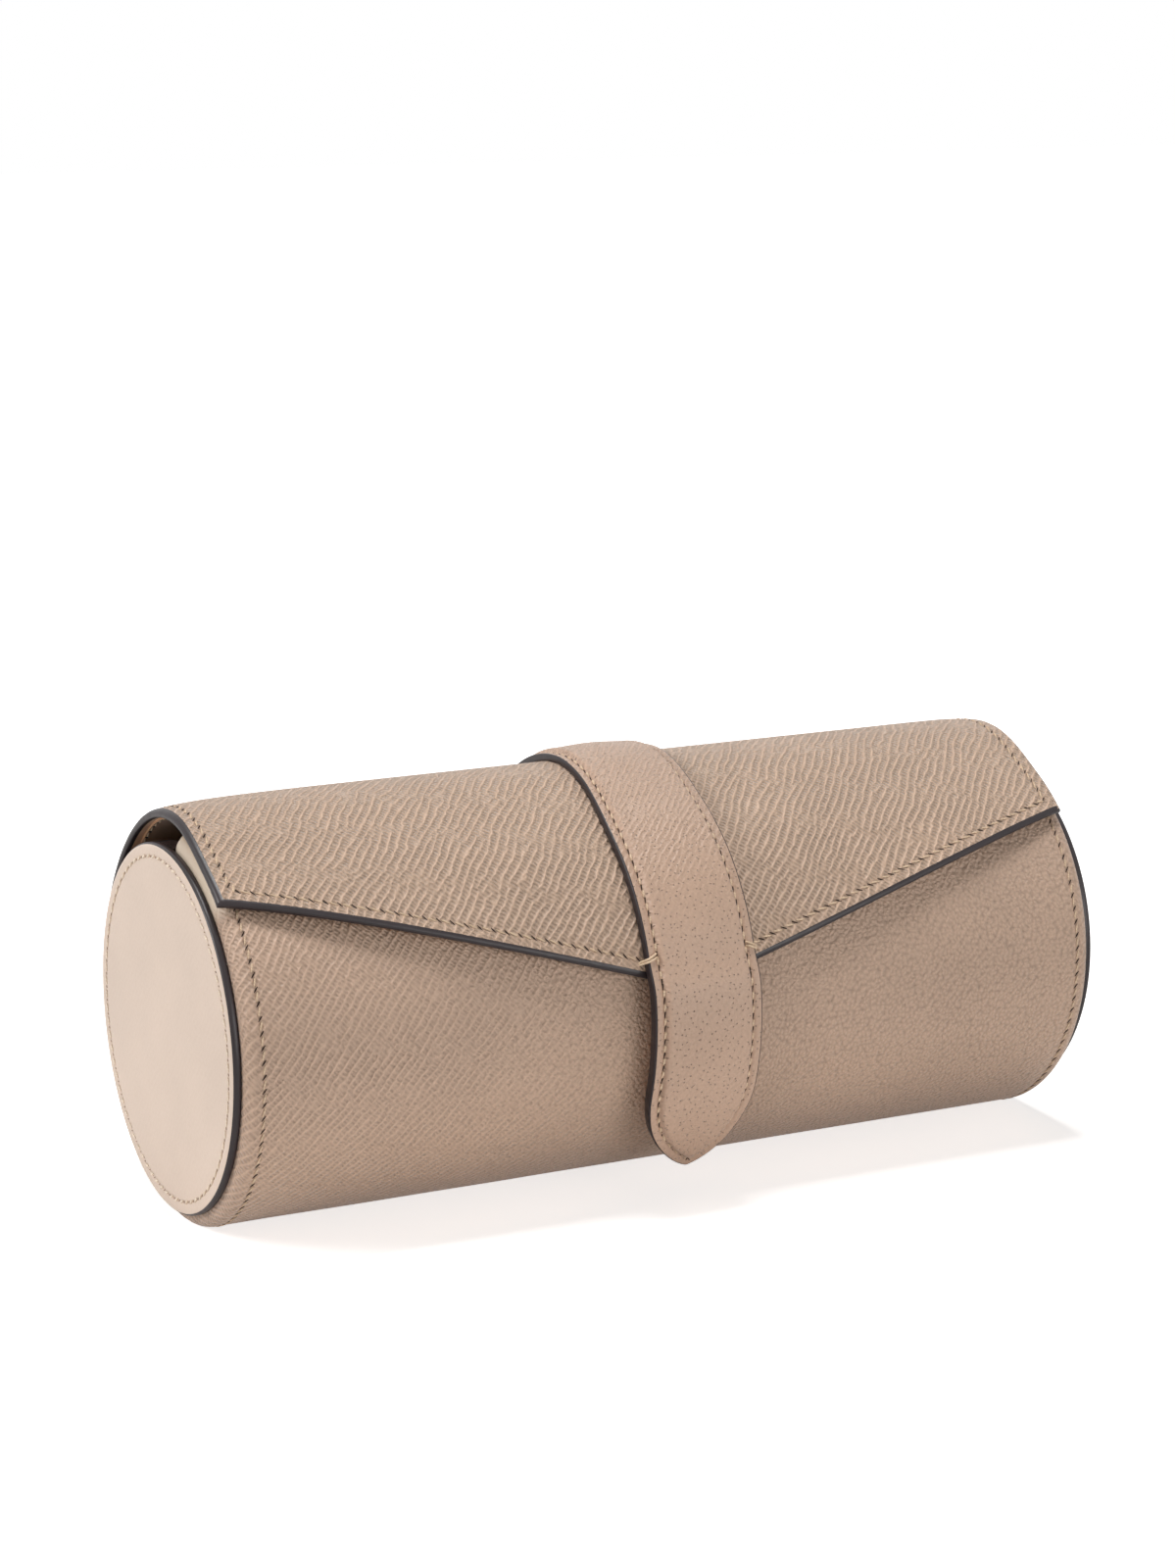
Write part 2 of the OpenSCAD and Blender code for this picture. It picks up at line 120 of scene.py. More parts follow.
for name, place, side, power in (
        ("left_box", (-1.7, 0.25, 1.0), 0.6, 18.5), ("top_box", (0.0, 0.1, 1.9), 0.55, 23.0),
        ("front_fill", (0.8, -1.9, 0.25), 1.2, 18.0)):
    lamp = put(name, bpy.data.lights.new(name, "AREA"))
    lamp.data.shape, lamp.data.size, lamp.data.energy = "SQUARE", side, power
    lamp.location = place
    lamp.rotation_euler = (Vector((0, 0, 0.04)) - lamp.location).to_track_quat("-Z", "Y").to_euler()

board_paint, tree = new_material("white_glowing_board")
rays = add(tree, "LightPath")
matt = add(tree, "BsdfDiffuse", {"Color": tint("#F6F4F2")})
# Seen by the camera the board glows as well, more the further it lies from the roll: a painted glow, not a
# lamp, that turns it white and leaves the roll's shadow near it
place = add(tree, "TexCoord").outputs["Object"]
away = add(tree, "VectorMath", {0: place}, operation="LENGTH")
glow_by_distance = add(tree, "MapRange", {"Value": away.outputs["Value"], "From Min": 0.15, "From Max": 0.8,
                              "To Min": 0.68, "To Max": 1.1})
glow = add(tree, "Emission", {"Color": tint("#FFFFFF"), "Strength": glow_by_distance})
matt_and_glow = add(tree, "AddShader", {0: matt, 1: glow})
# Other rays see only a faint glow of the board: painted light that lifts the roll's underside a little
underside_glow = add(tree, "Emission", {"Color": tint("#FFFFFF"), "Strength": 0.1})
lifted = add(tree, "AddShader", {0: matt, 1: underside_glow})
plain = add(tree, "MixShader", {0: rays.outputs["Is Camera Ray"], 1: lifted, 2: matt_and_glow})
add(tree, "OutputMaterial", {"Surface": plain})
bm = bmesh.new()
bmesh.ops.create_grid(bm, x_segments=1, y_segments=1, size=4)
floor = put("floor", mesh_of(bm, "floor"))
floor.data.materials.append(board_paint)


# Body leather: one piece of embossed calf wrapped round the case from the lip of the front wall
# to the fold of the flap. It is turned over a 3 mm shoulder at each end and glued under the discs.
BODY_R, AXIS_H, HALF_LEN, SHOULDER, WRAP_T = 43.0, 42.3408, 102.7, 3.0, 1.5
LIP_DEG, FOLD_DEG, TURN_IN, WALL_IN, BODY_ROW = 2.0, -80.0, 37.0, 39.1, 99.0
LIP_ROUND, CORNER_ROUND, CORNER_X, WAVE, WAVE_LEN = 1.2, 4.0, 94.0, 0.14, 26.0
WALL_SWEEP = (276.4, 138)


def around(x, a, r):
    """The point, in metres, at place x along the roll, angle a from the top to the front and radius r."""
    return Vector((x, -r * math.sin(a), AXIS_H + r * math.cos(a))) / 1000


def ease(u):
    """A smooth climb from 0 to 1."""
    u = min(max(u, 0.0), 1.0)
    return u * u * (3 - 2 * u)


def round_off(u, radius):
    """How far a corner rounded to this radius has fallen away at a distance u from its edge."""
    return radius - math.sqrt(radius ** 2 - (radius - min(max(u, 0.0), radius)) ** 2)


def pressed(gap, depth, width):
    """How deep a pressed line is at a distance from its middle."""
    return depth * math.exp(-(gap / width) ** 2)


def face_outwards(bm):
    """Turns every closed shell's faces outwards, by the sign of the volume that it holds."""
    bmesh.ops.recalc_face_normals(bm, faces=bm.faces)
    waiting = set(bm.faces)
    while waiting:
        shell = [waiting.pop()]
        for face in shell:
            near = {other for edge in face.edges for other in edge.link_faces} & waiting
            waiting -= near
            shell += near
        hub, volume = shell[0].verts[0].co.copy(), 0.0
        for face in shell:
            corner, *rest = [vert.co - hub for vert in face.verts]
            volume += sum(corner.dot(b.cross(c)) for b, c in zip(rest, rest[1:]))
        if volume < 0:
            bmesh.ops.reverse_faces(bm, faces=shell)


def finish_piece(bm, name, materials, smooth_deg=50, weld=0.0):
    """Turns the bmesh into an object at the origin, with its faces outwards and its sharp folds kept."""
    if weld:
        bmesh.ops.remove_doubles(bm, verts=bm.verts, dist=weld)
    face_outwards(bm)
    for face in bm.faces:
        face.smooth = True
    for edge in bm.edges:
        if len(edge.link_faces) == 2:
            edge.smooth = edge.calc_face_angle(0) < math.radians(smooth_deg)
    piece = put(name, mesh_of(bm, name))
    for material in materials:
        piece.data.materials.append(material)
    return piece


def pressed_calf(name, hide, pitch, relief, depth, fade=None, fade_to=0.3, pores=0.0, rough=0.44,
                 pebble_share=0.2, pebbly=0.3, pale_corner=None):
    """Calf pressed with a diagonal grain: rounded ridges, and finer ones across them. Its map is in mm.
    Relief is the grain's height in mm, and depth is how far the colour varies with it: the dye, and painted
    shade and highlight. Fade is the way of the map in which the grain is pressed flatter, and the places
    where that begins and ends."""
    material, tree = new_material(name)
    cut = add(tree, "UVMap", uv_map="cut_mm")
    place = add(tree, "SeparateXYZ", {"Vector": cut})
    # Leather stretches unevenly, so the ridges wander by about 1 mm over 25 mm
    bent = cut
    for scale, drift in ((0.04, 0.9), (0.5, 0.2)):
        pull = add(tree, "TexNoise", {"Vector": cut, "Scale": scale, "Detail": 1.0}, normalize=False)
        bent = add(tree, "VectorMath", {0: pull.outputs["Color"], 1: (drift, drift, 0), 2: bent},
                   operation="MULTIPLY_ADD")
    # Long ridges, and short bridges between them that leave a row of pits in each furrow
    waves = []
    for turn, spacing, wander in (
            (-43.0, pitch, 0.35), (-36.0, 1.06 * pitch, 0.6), (44.0, 0.55 * pitch, 4.0)):
        turned = add(tree, "Mapping", {"Vector": bent, "Rotation": (0, 0, math.radians(turn))})
        wave = add(tree, "TexWave", {"Vector": turned, "Scale": math.tau / 20 / spacing,
                                     "Distortion": wander, "Detail": 1.0, "Detail Scale": 0.5 / spacing},
                   wave_type="BANDS", bands_direction="X")
        waves.append(wave.outputs["Fac"])
    meet = add(tree, "TexNoise", {"Vector": cut, "Scale": 0.3 / pitch, "Detail": 2.0})
    meet = add(tree, "MapRange", {"Value": meet.outputs["Fac"], "From Min": 0.42, "From Max": 0.58})
    ridge = add(tree, "Mix", {0: meet, 2: waves[0], 3: waves[1]}, data_type="FLOAT")
    crest = add(tree, "Math", {0: ridge, 1: 2.0}, operation="POWER")
    bridge = add(tree, "MapRange", {"Value": waves[2], "To Min": 0.12, "To Max": 0.55})
    height = add(tree, "Mix", {0: crest, 2: bridge, 3: 1.0}, data_type="FLOAT")
    # Fine creases drawn out along the ridges, and a fine pebble over everything
    along = add(tree, "Mapping", {"Vector": bent, "Rotation": (0, 0, math.radians(-39.6)),
                                  "Scale": (2.4 / pitch, 0.8 / pitch, 1.0)})
    crease = add(tree, "TexNoise", {"Vector": along, "Scale": 1.0, "Detail": 3.0, "Roughness": 0.65})
    height = add(tree, "Mix", {0: 0.4, 2: height, 3: crease.outputs["Fac"]}, data_type="FLOAT")
    pebble = add(tree, "TexNoise", {"Vector": cut, "Scale": 2.2 / pitch, "Detail": 3.0, "Roughness": 0.7})
    cells = add(tree, "TexVoronoi", {"Vector": bent, "Scale": 1.7 / pitch}, voronoi_dimensions="2D")
    cells = add(tree, "MapRange", {"Value": cells.outputs["Distance"], "To Min": 1.0, "To Max": 0.0})
    pebble = add(tree, "Mix", {0: 0.45, 2: pebble.outputs["Fac"], 3: cells}, data_type="FLOAT")
    height = add(tree, "Mix", {0: pebble_share, 2: height, 3: pebble}, data_type="FLOAT")
    if fade:
        strength = add(tree, "MapRange", {"Value": place.outputs[fade[0]], "From Min": fade[1],
                                          "From Max": fade[2], "To Min": 1.0, "To Max": fade_to},
                       interpolation_type="SMOOTHSTEP")
        plain = add(tree, "Mix", {0: pebbly, 2: 0.55, 3: pebble}, data_type="FLOAT")
        height = add(tree, "Mix", {0: strength, 2: plain, 3: height}, data_type="FLOAT")
    if pale_corner:
        # Skived thin and stretched over the lip's corner, where the grain is gone, and coloured paler there
        out = add(tree, "Math", {0: place.outputs["X"]}, operation="ABSOLUTE")
        out = add(tree, "MapRange", {"Value": out, "From Min": 99.2, "From Max": 100.4})
        near = add(tree, "MapRange", {"Value": place.outputs["Y"], "From Min": 33.0, "From Max": 28.0})
        bare = add(tree, "Math", {0: out, 1: near}, operation="MULTIPLY")
        height = add(tree, "Mix", {0: bare, 2: height, 3: 0.6}, data_type="FLOAT")
    # Pores: small pits in the grain, each darkened with painted shade
    if pores:
        hair = add(tree, "TexVoronoi", {"Vector": cut, "Scale": 0.62}, voronoi_dimensions="2D")
        dot = add(tree, "MapRange", {"Value": hair.outputs["Distance"], "From Min": 0.04, "From Max": 0.13,
                                     "To Min": pores, "To Max": 0.0})
        height = add(tree, "Math", {0: height, 1: dot}, operation="SUBTRACT")
        pore_shade = add(tree, "Math", {0: dot, 1: -0.45}, operation="MULTIPLY")
    # Darker in the creases and paler on the ridges: partly the dye, and partly painted shade in the creases
    # and painted highlight on the ridges
    cloud = add(tree, "TexNoise", {"Vector": cut, "Scale": 0.035, "Detail": 3.0})
    shade = add(tree, "MapRange", {"Value": cloud.outputs["Fac"], "From Min": 0.3, "From Max": 0.7,
                                   "To Min": -0.045, "To Max": 0.045})
    dye = add(tree, "MapRange", {"Value": height, "From Min": 0.15, "From Max": 0.95,
                                 "To Min": 1 - depth, "To Max": 1 + depth}, clamp=False)
    dye = add(tree, "Math", {0: dye, 1: shade}, operation="ADD")
    if pores:
        dye = add(tree, "Math", {0: dye, 1: pore_shade}, operation="ADD")
    dyed = add(tree, "VectorMath", {0: tint(hide)[:3], "Scale": dye}, operation="SCALE")
    if pale_corner:
        dyed = add(tree, "Mix", {0: bare, 6: dyed, 7: tint(pale_corner)}, data_type="RGBA")
    bump = add(tree, "Bump", {"Height": height, "Strength": 1.0, "Distance": relief / 1000})
    shine = add(tree, "MapRange", {"Value": height, "From Min": 0.2, "From Max": 0.9,
                                   "To Min": rough + 0.1, "To Max": rough - 0.1})
    skin = add(tree, "BsdfPrincipled", {
        "Base Color": dyed.outputs[2 if pale_corner else 0], "Roughness": shine, "IOR": 1.48,
        "Sheen Weight": 0.3, "Sheen Roughness": 0.35, "Normal": bump})
    add(tree, "OutputMaterial", {"Surface": skin})
    return material


body_calf = pressed_calf("pressed_calf_body", "#C1A38D", 1.6, 0.85, 0.4, fade=("X", -90, 10),
                         pebble_share=0.3, pebbly=1.0, pale_corner="#DCC9B3")


def spin_round(bm, section, *sweeps):
    """Carries the section round the roll's axis by each sweep's degrees, in its number of steps."""
    for degrees, steps in sweeps:
        section = bmesh.ops.spin(bm, geom=section, cent=around(0, 0, 0), axis=(1, 0, 0), steps=steps,
                                 angle=math.radians(degrees), dvec=(0, 0, 0))["geom_last"]


def polar(co):
    """Place along the roll, angle from the top in radians and radius of a point, in mm."""
    y, z = co.y * 1000, co.z * 1000 - AXIS_H
    return co.x * 1000, math.atan2(-y, z), math.hypot(y, z)


def lay_map(bm, flat):
    """Writes the sheet's own map, in mm, from what flat gives for each vertex."""
    layer = bm.loops.layers.uv.new("cut_mm")
    for vert in bm.verts:
        at = flat(vert.co)
        for loop in vert.link_loops:
            loop[layer].uv = at


bm = bmesh.new()
shoulder = [(HALF_LEN - SHOULDER * (1 - math.sin(t)), BODY_R - SHOULDER * (1 - math.cos(t)))
            for t in (math.pi / 16 * k for k in range(8, 0, -1))]
groove = [(BODY_ROW + d, BODY_R - pressed(d, 0.22, 0.45)) for d in (0.7, 0.35, 0, -0.35, -0.7)]
side = ([(HALF_LEN, TURN_IN), (HALF_LEN, 38.6)] + shoulder + groove
        + [(95 - 5 * k, BODY_R) for k in range(20)])
top = side + [(-x, r) for x, r in reversed(side[:-1])]
inner = [(HALF_LEN - WRAP_T, TURN_IN), (HALF_LEN - WRAP_T, BODY_R - WRAP_T)]
outline = top + [(-x, r) for x, r in inner] + list(reversed(inner))
section = bm.faces.new([bm.verts.new(around(x, math.radians(LIP_DEG), r)) for x, r in outline])
spin_round(bm, [section], (1.6, 4), WALL_SWEEP)


def body_flat(co):
    """Where a point of the leather was when the sheet lay flat. The shoulder's arc is 1.7 mm longer
    than its rise."""
    x, a, r = polar(co)
    a = a + math.tau if a < 0 else a
    if abs(x) > HALF_LEN - SHOULDER and r > BODY_R - SHOULDER - 0.01:
        turn = math.atan2(abs(x) - HALF_LEN + SHOULDER, max(r - BODY_R + SHOULDER, 1e-6))
        x = math.copysign(HALF_LEN - SHOULDER + SHOULDER * turn, x)
    elif r < BODY_R - SHOULDER:
        x = math.copysign(HALF_LEN + BODY_R - SHOULDER - r + 1.7, x)
    return x, a * BODY_R


lay_map(bm, body_flat)
for vert in bm.verts:
    x, a, r = polar(vert.co)
    a = a + math.tau if a < 0 else a
    from_lip = (a - math.radians(LIP_DEG)) * BODY_R
    # The lip is turned in over the board and rounded, and so are its two corners
    if from_lip < LIP_ROUND + 0.01 and abs(r - BODY_R + WRAP_T) < 0.5:
        r = WALL_IN
    r -= round_off(from_lip, LIP_ROUND) * (1 if r > BODY_R - 2 else -0.6)
    if abs(x) > CORNER_X:
        shrink = 1 - round_off(from_lip, CORNER_ROUND) / (HALF_LEN - CORNER_X)
        x = math.copysign(CORNER_X + (abs(x) - CORNER_X) * shrink, x)
    if r > BODY_R - 0.1:
        r += WAVE * noise.noise(Vector((x / WAVE_LEN, a * BODY_R / WAVE_LEN, 3.0)))
    vert.co = around(x, a, r)
    vert.co.z = max(vert.co.z, 0)
body = finish_piece(bm, "body_leather", [body_calf])
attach(body, "case")
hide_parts("body_wrap", "front_lip")


# End discs: a round of smooth calf on board, glued over the turned-in leather at each end.
# Its cut rim is sanded round and painted dark, and a row of stitches runs 3 mm inside it.
def painted(name, colour, rough):
    """Several coats of edge paint, ironed: a soft sheen with slow ripples."""
    material, tree = new_material(name)
    place = add(tree, "TexCoord").outputs["Object"]
    ripple = add(tree, "TexNoise", {"Vector": place, "Scale": 420.0, "Detail": 3.0})
    thin = add(tree, "TexNoise", {"Vector": place, "Scale": 90.0, "Detail": 2.0})
    coat = add(tree, "MapRange", {"Value": thin.outputs["Fac"], "From Min": 0.3, "From Max": 0.7,
                                  "To Min": 0.85, "To Max": 1.15})
    base = add(tree, "VectorMath", {0: tint(colour)[:3], "Scale": coat}, operation="SCALE")
    bump = add(tree, "Bump", {"Height": ripple.outputs["Fac"], "Strength": 0.5, "Distance": 0.00012})
    gloss = add(tree, "MapRange", {"Value": ripple.outputs["Fac"], "To Min": rough - 0.08,
                                   "To Max": rough + 0.1})
    paint = add(tree, "BsdfPrincipled", {"Base Color": base, "Roughness": gloss,
                                         "IOR": 1.42, "Normal": bump})
    add(tree, "OutputMaterial", {"Surface": paint})
    return material


edge_paint = painted("edge_paint", "#2B2325", 0.36)
disc_calf = pressed_calf("smooth_calf_disc", "#DBC6B5", 1.4, 0.06, 0.03, rough=0.5, pebble_share=0.7)
DISC_R, DISC_IN, DISC_ROW, DISC_OUT = 40.0, 102.7, 37.0, {"left": 104.6, "right": 105.0}
SIDES = (("left", -1), ("right", 1))


def turned_round(profile, steps):
    """A round piece on the roll's axis, from its profile of places along the roll and radii."""
    bm = bmesh.new()
    verts = [bm.verts.new(around(x, 0, r)) for x, r in profile]
    edges = [bm.edges.new(pair) for pair in zip(verts, verts[1:])]
    bmesh.ops.spin(bm, geom=verts + edges, cent=around(0, 0, 0), axis=(1, 0, 0), steps=steps,
                   angle=math.tau, dvec=(0, 0, 0), use_merge=True)
    bmesh.ops.remove_doubles(bm, verts=bm.verts, dist=1e-6)
    return bm


for side, sign in SIDES:
    out = DISC_OUT[side]
    dish = [(out + 0.35 * (1 - (r / 34) ** 2), r) for r in (0, 6, 12, 18, 24, 29, 33)]
    dish += [(out - pressed(d, 0.2, 0.5), DISC_ROW + d) for d in (-1.4, -0.7, -0.35, 0, 0.35, 0.7, 1.4)]
    dish += [(out, 39.1), (out - 0.12, 39.55), (out - 0.45, 39.9), (out - 0.8, DISC_R),
             (DISC_IN + 0.4, DISC_R), (DISC_IN + 0.12, 39.85), (DISC_IN, 39.5), (DISC_IN, 20), (DISC_IN, 0)]
    bm = turned_round([(sign * x, r) for x, r in dish], 120)
    lay_map(bm, lambda co: (co.y * 1000, co.z * 1000))
    for face in bm.faces:
        face.material_index = 1 if polar(face.calc_center_median())[2] > DISC_R - 0.6 else 0
    disc = finish_piece(bm, side + "_disc", [disc_calf, edge_paint])
    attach(disc, "case")
    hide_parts(side + "_end_disc")


# Stitches: waxed cream linen, sewn by hand with an awl through slanted slits, 3 mm apart.
# Each stitch leans a little, and a slit at each of its ends is painted dark for the shade in its hole.
def linen_thread(name, colour, twisted):
    """Waxed thread of three strands: a soft shine and a fine twist."""
    material, tree = new_material(name)
    place = add(tree, "TexCoord").outputs["Object"]
    twist = add(tree, "TexWave", {"Vector": place, "Scale": 700.0, "Distortion": 2.0},
                bands_direction="DIAGONAL")
    base = add(tree, "Mix", {0: twist.outputs["Fac"], 6: tint(colour), 7: tint(twisted)}, data_type="RGBA")
    bump = add(tree, "Bump", {"Height": twist.outputs["Fac"], "Strength": 0.4, "Distance": 0.00008})
    wax = add(tree, "BsdfPrincipled", {"Base Color": base.outputs[2], "Roughness": 0.55,
                                       "Normal": bump})
    add(tree, "OutputMaterial", {"Surface": wax})
    return material


def awl_slit(name, colour):
    """The inside of a slit, matt and dark: painted shade in the hole."""
    material = bpy.data.materials.new(name)
    material.use_nodes = True
    raw = material.node_tree.nodes["Principled BSDF"]
    raw.inputs["Base Color"].default_value, raw.inputs["Roughness"].default_value = tint(colour), 0.9
    return material


thread = linen_thread("waxed_linen_thread", "#CFB396", "#DEC6A8")
pale_thread = linen_thread("pale_linen_thread", "#E3D0BA", "#EEDFCC")
slit, pale_slit = awl_slit("awl_slit", "#33241B"), awl_slit("pale_awl_slit", "#9C8069")
PITCH, THREAD_R, PROUD, SLIT_T = 3.04, 0.22, 0.04, 0.09


def walk(path):
    """Points along the path, about one pitch apart, each with its heading and the gap to the next."""
    legs = [(b - a).length for a, b in zip(path, path[1:])]
    count = max(round(sum(legs) / PITCH), 1)
    gap, leg, gone = sum(legs) / count, 0, 0.0
    for k in range(count + 1):
        while leg < len(legs) - 1 and k * gap > gone + legs[leg]:
            gone += legs[leg]
            leg += 1
        a, b = path[leg], path[leg + 1]
        yield a + (b - a) * min((k * gap - gone) / legs[leg], 1.0), math.atan2(b.y - a.y, b.x - a.x), gap


def pellet(name, u, v):
    """A small ball to be drawn out into a stitch or a slit."""
    bm = bmesh.new()
    bmesh.ops.create_uvsphere(bm, u_segments=u, v_segments=v, radius=1)
    return mesh_of(bm, name)


stitch_form, slit_form = pellet("stitch_form", 8, 5), pellet("slit_form", 6, 3)
for face in slit_form.polygons:
    face.material_index = 1


def set_down(bm, form, at, height, turn, size):
    """Puts one form down on the flat work."""
    first = len(bm.verts)
    bm.from_mesh(form)
    bm.verts.ensure_lookup_table()
    place = (Matrix.Translation((at.x, at.y, height)) @ Matrix.Rotation(turn, 4, "Z")
             @ Matrix.Diagonal((*size, 1)))
    for vert in bm.verts[first:]:
        vert.co = place @ vert.co


def sew(bm, path, height=0.0, lean=15, slope=38, slit_size=(1.0, 0.19), under=False, fat=1.0,
        stitch=2.3, ring=False):
    """Adds a row of stitches along a flat path of x and s, at a height over the sheet. Lean and slope
    turn the stitches and the slits off the path, in degrees. A ring ends where it began."""
    places = list(walk([Vector(p) for p in path]))
    for k, (at, heading, gap) in enumerate(places):
        if not (ring and k + 1 == len(places)):
            set_down(bm, slit_form, at, height, heading + math.radians(slope), (*slit_size, SLIT_T))
        if k + 1 < len(places):
            half = stitch / 2 * gap / PITCH
            set_down(bm, stitch_form, (at + places[k + 1][0]) / 2, height + (-PROUD if under else PROUD),
                     heading + math.radians(lean), (half, THREAD_R * fat, THREAD_R * 0.8 * fat))


def bend(bm, place):
    """Bends flat work round the roll."""
    for vert in bm.verts:
        vert.co = place(vert.co.x, vert.co.y, vert.co.z)


for side, sign in SIDES:
    bm = bmesh.new()
    start, end = math.radians(LIP_DEG) * BODY_R + 2.2, math.radians(FOLD_DEG + 360 - 0.8) * BODY_R
    sew(bm, [(sign * BODY_ROW, start), (sign * BODY_ROW, end)], -0.1)
    bend(bm, lambda x, s, h: around(x, s / BODY_R, BODY_R + h))
    # Under the roll the thread is pressed flat
    for vert in bm.verts:
        vert.co.z = max(vert.co.z, 0.00002)
    row = finish_piece(bm, side + "_body_stitches", [thread, slit])
    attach(row, "case")
    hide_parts(side + "_body_thread")
    bm = bmesh.new()
    sew(bm, [(0, 0), (0, math.tau * DISC_ROW)], -0.06, lean=20, slope=45, slit_size=(0.4, 0.14),
        fat=1.4, stitch=2.0, ring=True)
    bend(bm, lambda x, s, h: around(sign * (DISC_OUT[side] + h), sign * s / DISC_ROW, DISC_ROW + x))
    row = finish_piece(bm, side + "_disc_stitches", [pale_thread, pale_slit])
    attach(row, "case")
    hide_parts(side + "_disc_thread")


# Flap: the same embossed calf, backed till it is 2 mm thick, and lined. Its edges are painted.
# It springs up off the case at the top, lies flat on the front wall, and is sewn 3.6 mm in.
FLAP_REF, FLAP_T, FLAP_ROW, CURL, CURL_DEG = 45.0, 2.0, 3.6, 1.5, 16.0
LEFT_X, RIGHT_X, BLUNT, SIDE_OUT = -103.1, 101.6, 77.0, 103.5
# For the middle and the ends: crest and landing in degrees, the radius at each, and the power of the rise
BULGES = ((-3, 28, 48.35, 45.45, 1), (4, 30, 47.2, 45.1, 2))
# The two lower cuts, left and right: where each begins, at how many degrees, and its degrees for each mm
CUTS = ((-103.0, 41.05, 0.391), (100.7, 43.7, -0.3712))
left_foot, right_foot = (start + (BLUNT - deg) / slope for start, deg, slope in CUTS)


def climb(u):
    """A rise from 0 to 1 along a half wave."""
    return (1 - math.cos(math.pi * min(max(u, 0.0), 1.0))) / 2


def flap_r(x, a):
    """The radius of the flap's outer face: it bulges most over the middle, and less at its ends."""
    deg = math.degrees(a)
    mid, end = (
        BODY_R + (high - BODY_R) * climb((deg - FOLD_DEG) / (crest - FOLD_DEG)) ** power if deg < crest
        else low + (high - low) * climb((land - deg) / (land - crest))
        for crest, land, high, low, power in BULGES)
    share = (1 - math.exp(-max(x + SIDE_OUT, 0) / 9)) * (1 - math.exp(-max(SIDE_OUT - x, 0) / 3.5))
    return end + (mid - end) * share


def low_edges(x):
    """The angles of the left and the right lower cut at a place along the roll."""
    return [deg + slope * (x - start) for start, deg, slope in CUTS]


def curl(x, a):
    """How far the flap's lower edges stand off the front wall between their ends."""
    low = min(low_edges(x)) - math.degrees(a)
    span = (x - LEFT_X) / (left_foot - LEFT_X) if x < 0 else (RIGHT_X - x) / (RIGHT_X - right_foot)
    rise = math.sqrt(math.sin(math.pi * min(max(span, 0.0), 0.9999)))
    return CURL * rise * max(1 - low / CURL_DEG, 0) ** 2


def flap_place(x, s, h):
    """Bends the flap: near the fold its sides follow the case's rounded shoulders."""
    a = s / FLAP_REF
    r = flap_r(x, a) + h + curl(x, a)
    near_fold = 1 - ease((math.degrees(a) - FOLD_DEG) / 14)
    past = abs(x) - (HALF_LEN - SHOULDER)
    if past > 0 and near_fold > 0:
        turn = past / SHOULDER
        x -= math.copysign((past - (SHOULDER + h) * math.sin(turn)) * near_fold, x)
        r -= (SHOULDER + h) * (1 - math.cos(turn)) * near_fold
    return around(x, a, r)


def on_flap(x, deg):
    """The flat point of the flap at this angle."""
    return x, math.radians(deg) * FLAP_REF


def side_x(edge, deg, reach=1.0):
    """Where a side of the flap is cut. Near the fold it reaches out to go round the case's shoulder."""
    full = math.copysign(HALF_LEN - SHOULDER * (1 - math.pi / 2), edge)
    return edge + (full - edge) * (1 - ease((deg - FOLD_DEG) / 12)) * reach


def flap_outline(inset, back=-88, reach=0.0):
    """The flap's cut shape, inset from its edges by so many mm. The lower cuts run aslant."""
    ends = [back] + [deg for deg in range(-80, -66, 2) if deg > back]
    points = [on_flap(side_x(LEFT_X, deg, reach) + inset, deg) for deg in ends]
    lift = math.degrees(inset * 1.044 / FLAP_REF)
    for cut, (first, last) in enumerate(((LEFT_X + inset, left_foot), (right_foot, RIGHT_X - inset))):
        for k in range(25):
            x = first + (last - first) * k / 24
            points.append(on_flap(x, low_edges(x)[cut] - lift))
    return points + [on_flap(side_x(RIGHT_X, deg, reach) - inset, deg) for deg in reversed(ends)]


def slice_at(bm, at, normal, dist=1e-4, **settings):
    """Scores the work along a plane, or cuts off what lies beyond it."""
    bmesh.ops.bisect_plane(bm, geom=bm.verts[:] + bm.edges[:] + bm.faces[:], dist=dist,
                           plane_co=at, plane_no=normal, **settings)


def cut_leather(outline, rings, x_cuts, s_cuts, keep=(-1e3, 1e3)):
    """A flat sheet cut to its outline, creased parallel to its edge, and scored so that it can bend."""
    bm = bmesh.new()
    face = bm.faces.new([bm.verts.new((x, s, 0)) for x, s in outline])
    face.normal_update()
    for last, ring in zip((0, *rings), rings):
        bmesh.ops.inset_individual(bm, faces=[face], thickness=ring - last, use_even_offset=True)
    for cuts, normal in ((x_cuts, Vector((1, 0, 0))), (s_cuts, Vector((0, 1, 0)))):
        for cut in cuts:
            slice_at(bm, normal * cut, normal)
    for cut, sign in ((keep[0], -1), (keep[1], 1)):
        slice_at(bm, (0, cut, 0), (0, sign, 0), clear_outer=True)
    return bm


def thicken(bm, depth, gap, dome, flat, under=2, paint=None):
    """Gives the sheet its thickness below its face, rounds its cut edges over the width of the dome and
    paints them. The flat share of the edge stays upright."""
    bmesh.ops.recalc_face_normals(bm, faces=bm.faces)
    if sum(face.normal.z for face in bm.faces) < 0:
        bmesh.ops.reverse_faces(bm, faces=bm.faces)
    bmesh.ops.solidify(bm, geom=bm.faces[:], thickness=depth)
    high = sum(v.co.z for v in bm.verts) / len(bm.verts)
    for vert in bm.verts:
        drop = round_off(gap(vert.co.x, vert.co.y), dome) / dome * depth * (1 - flat) / 2
        vert.co.z = -drop if vert.co.z > high else drop - depth
    for face in bm.faces:
        at = face.calc_center_median()
        painted_here = gap(at.x, at.y) < (paint(at.x, at.y) if paint else 0.96 * dome)
        face.material_index = 1 if painted_here else 0 if at.z > -depth / 2 else under
    lay_map(bm, lambda co: (co.x, co.y))


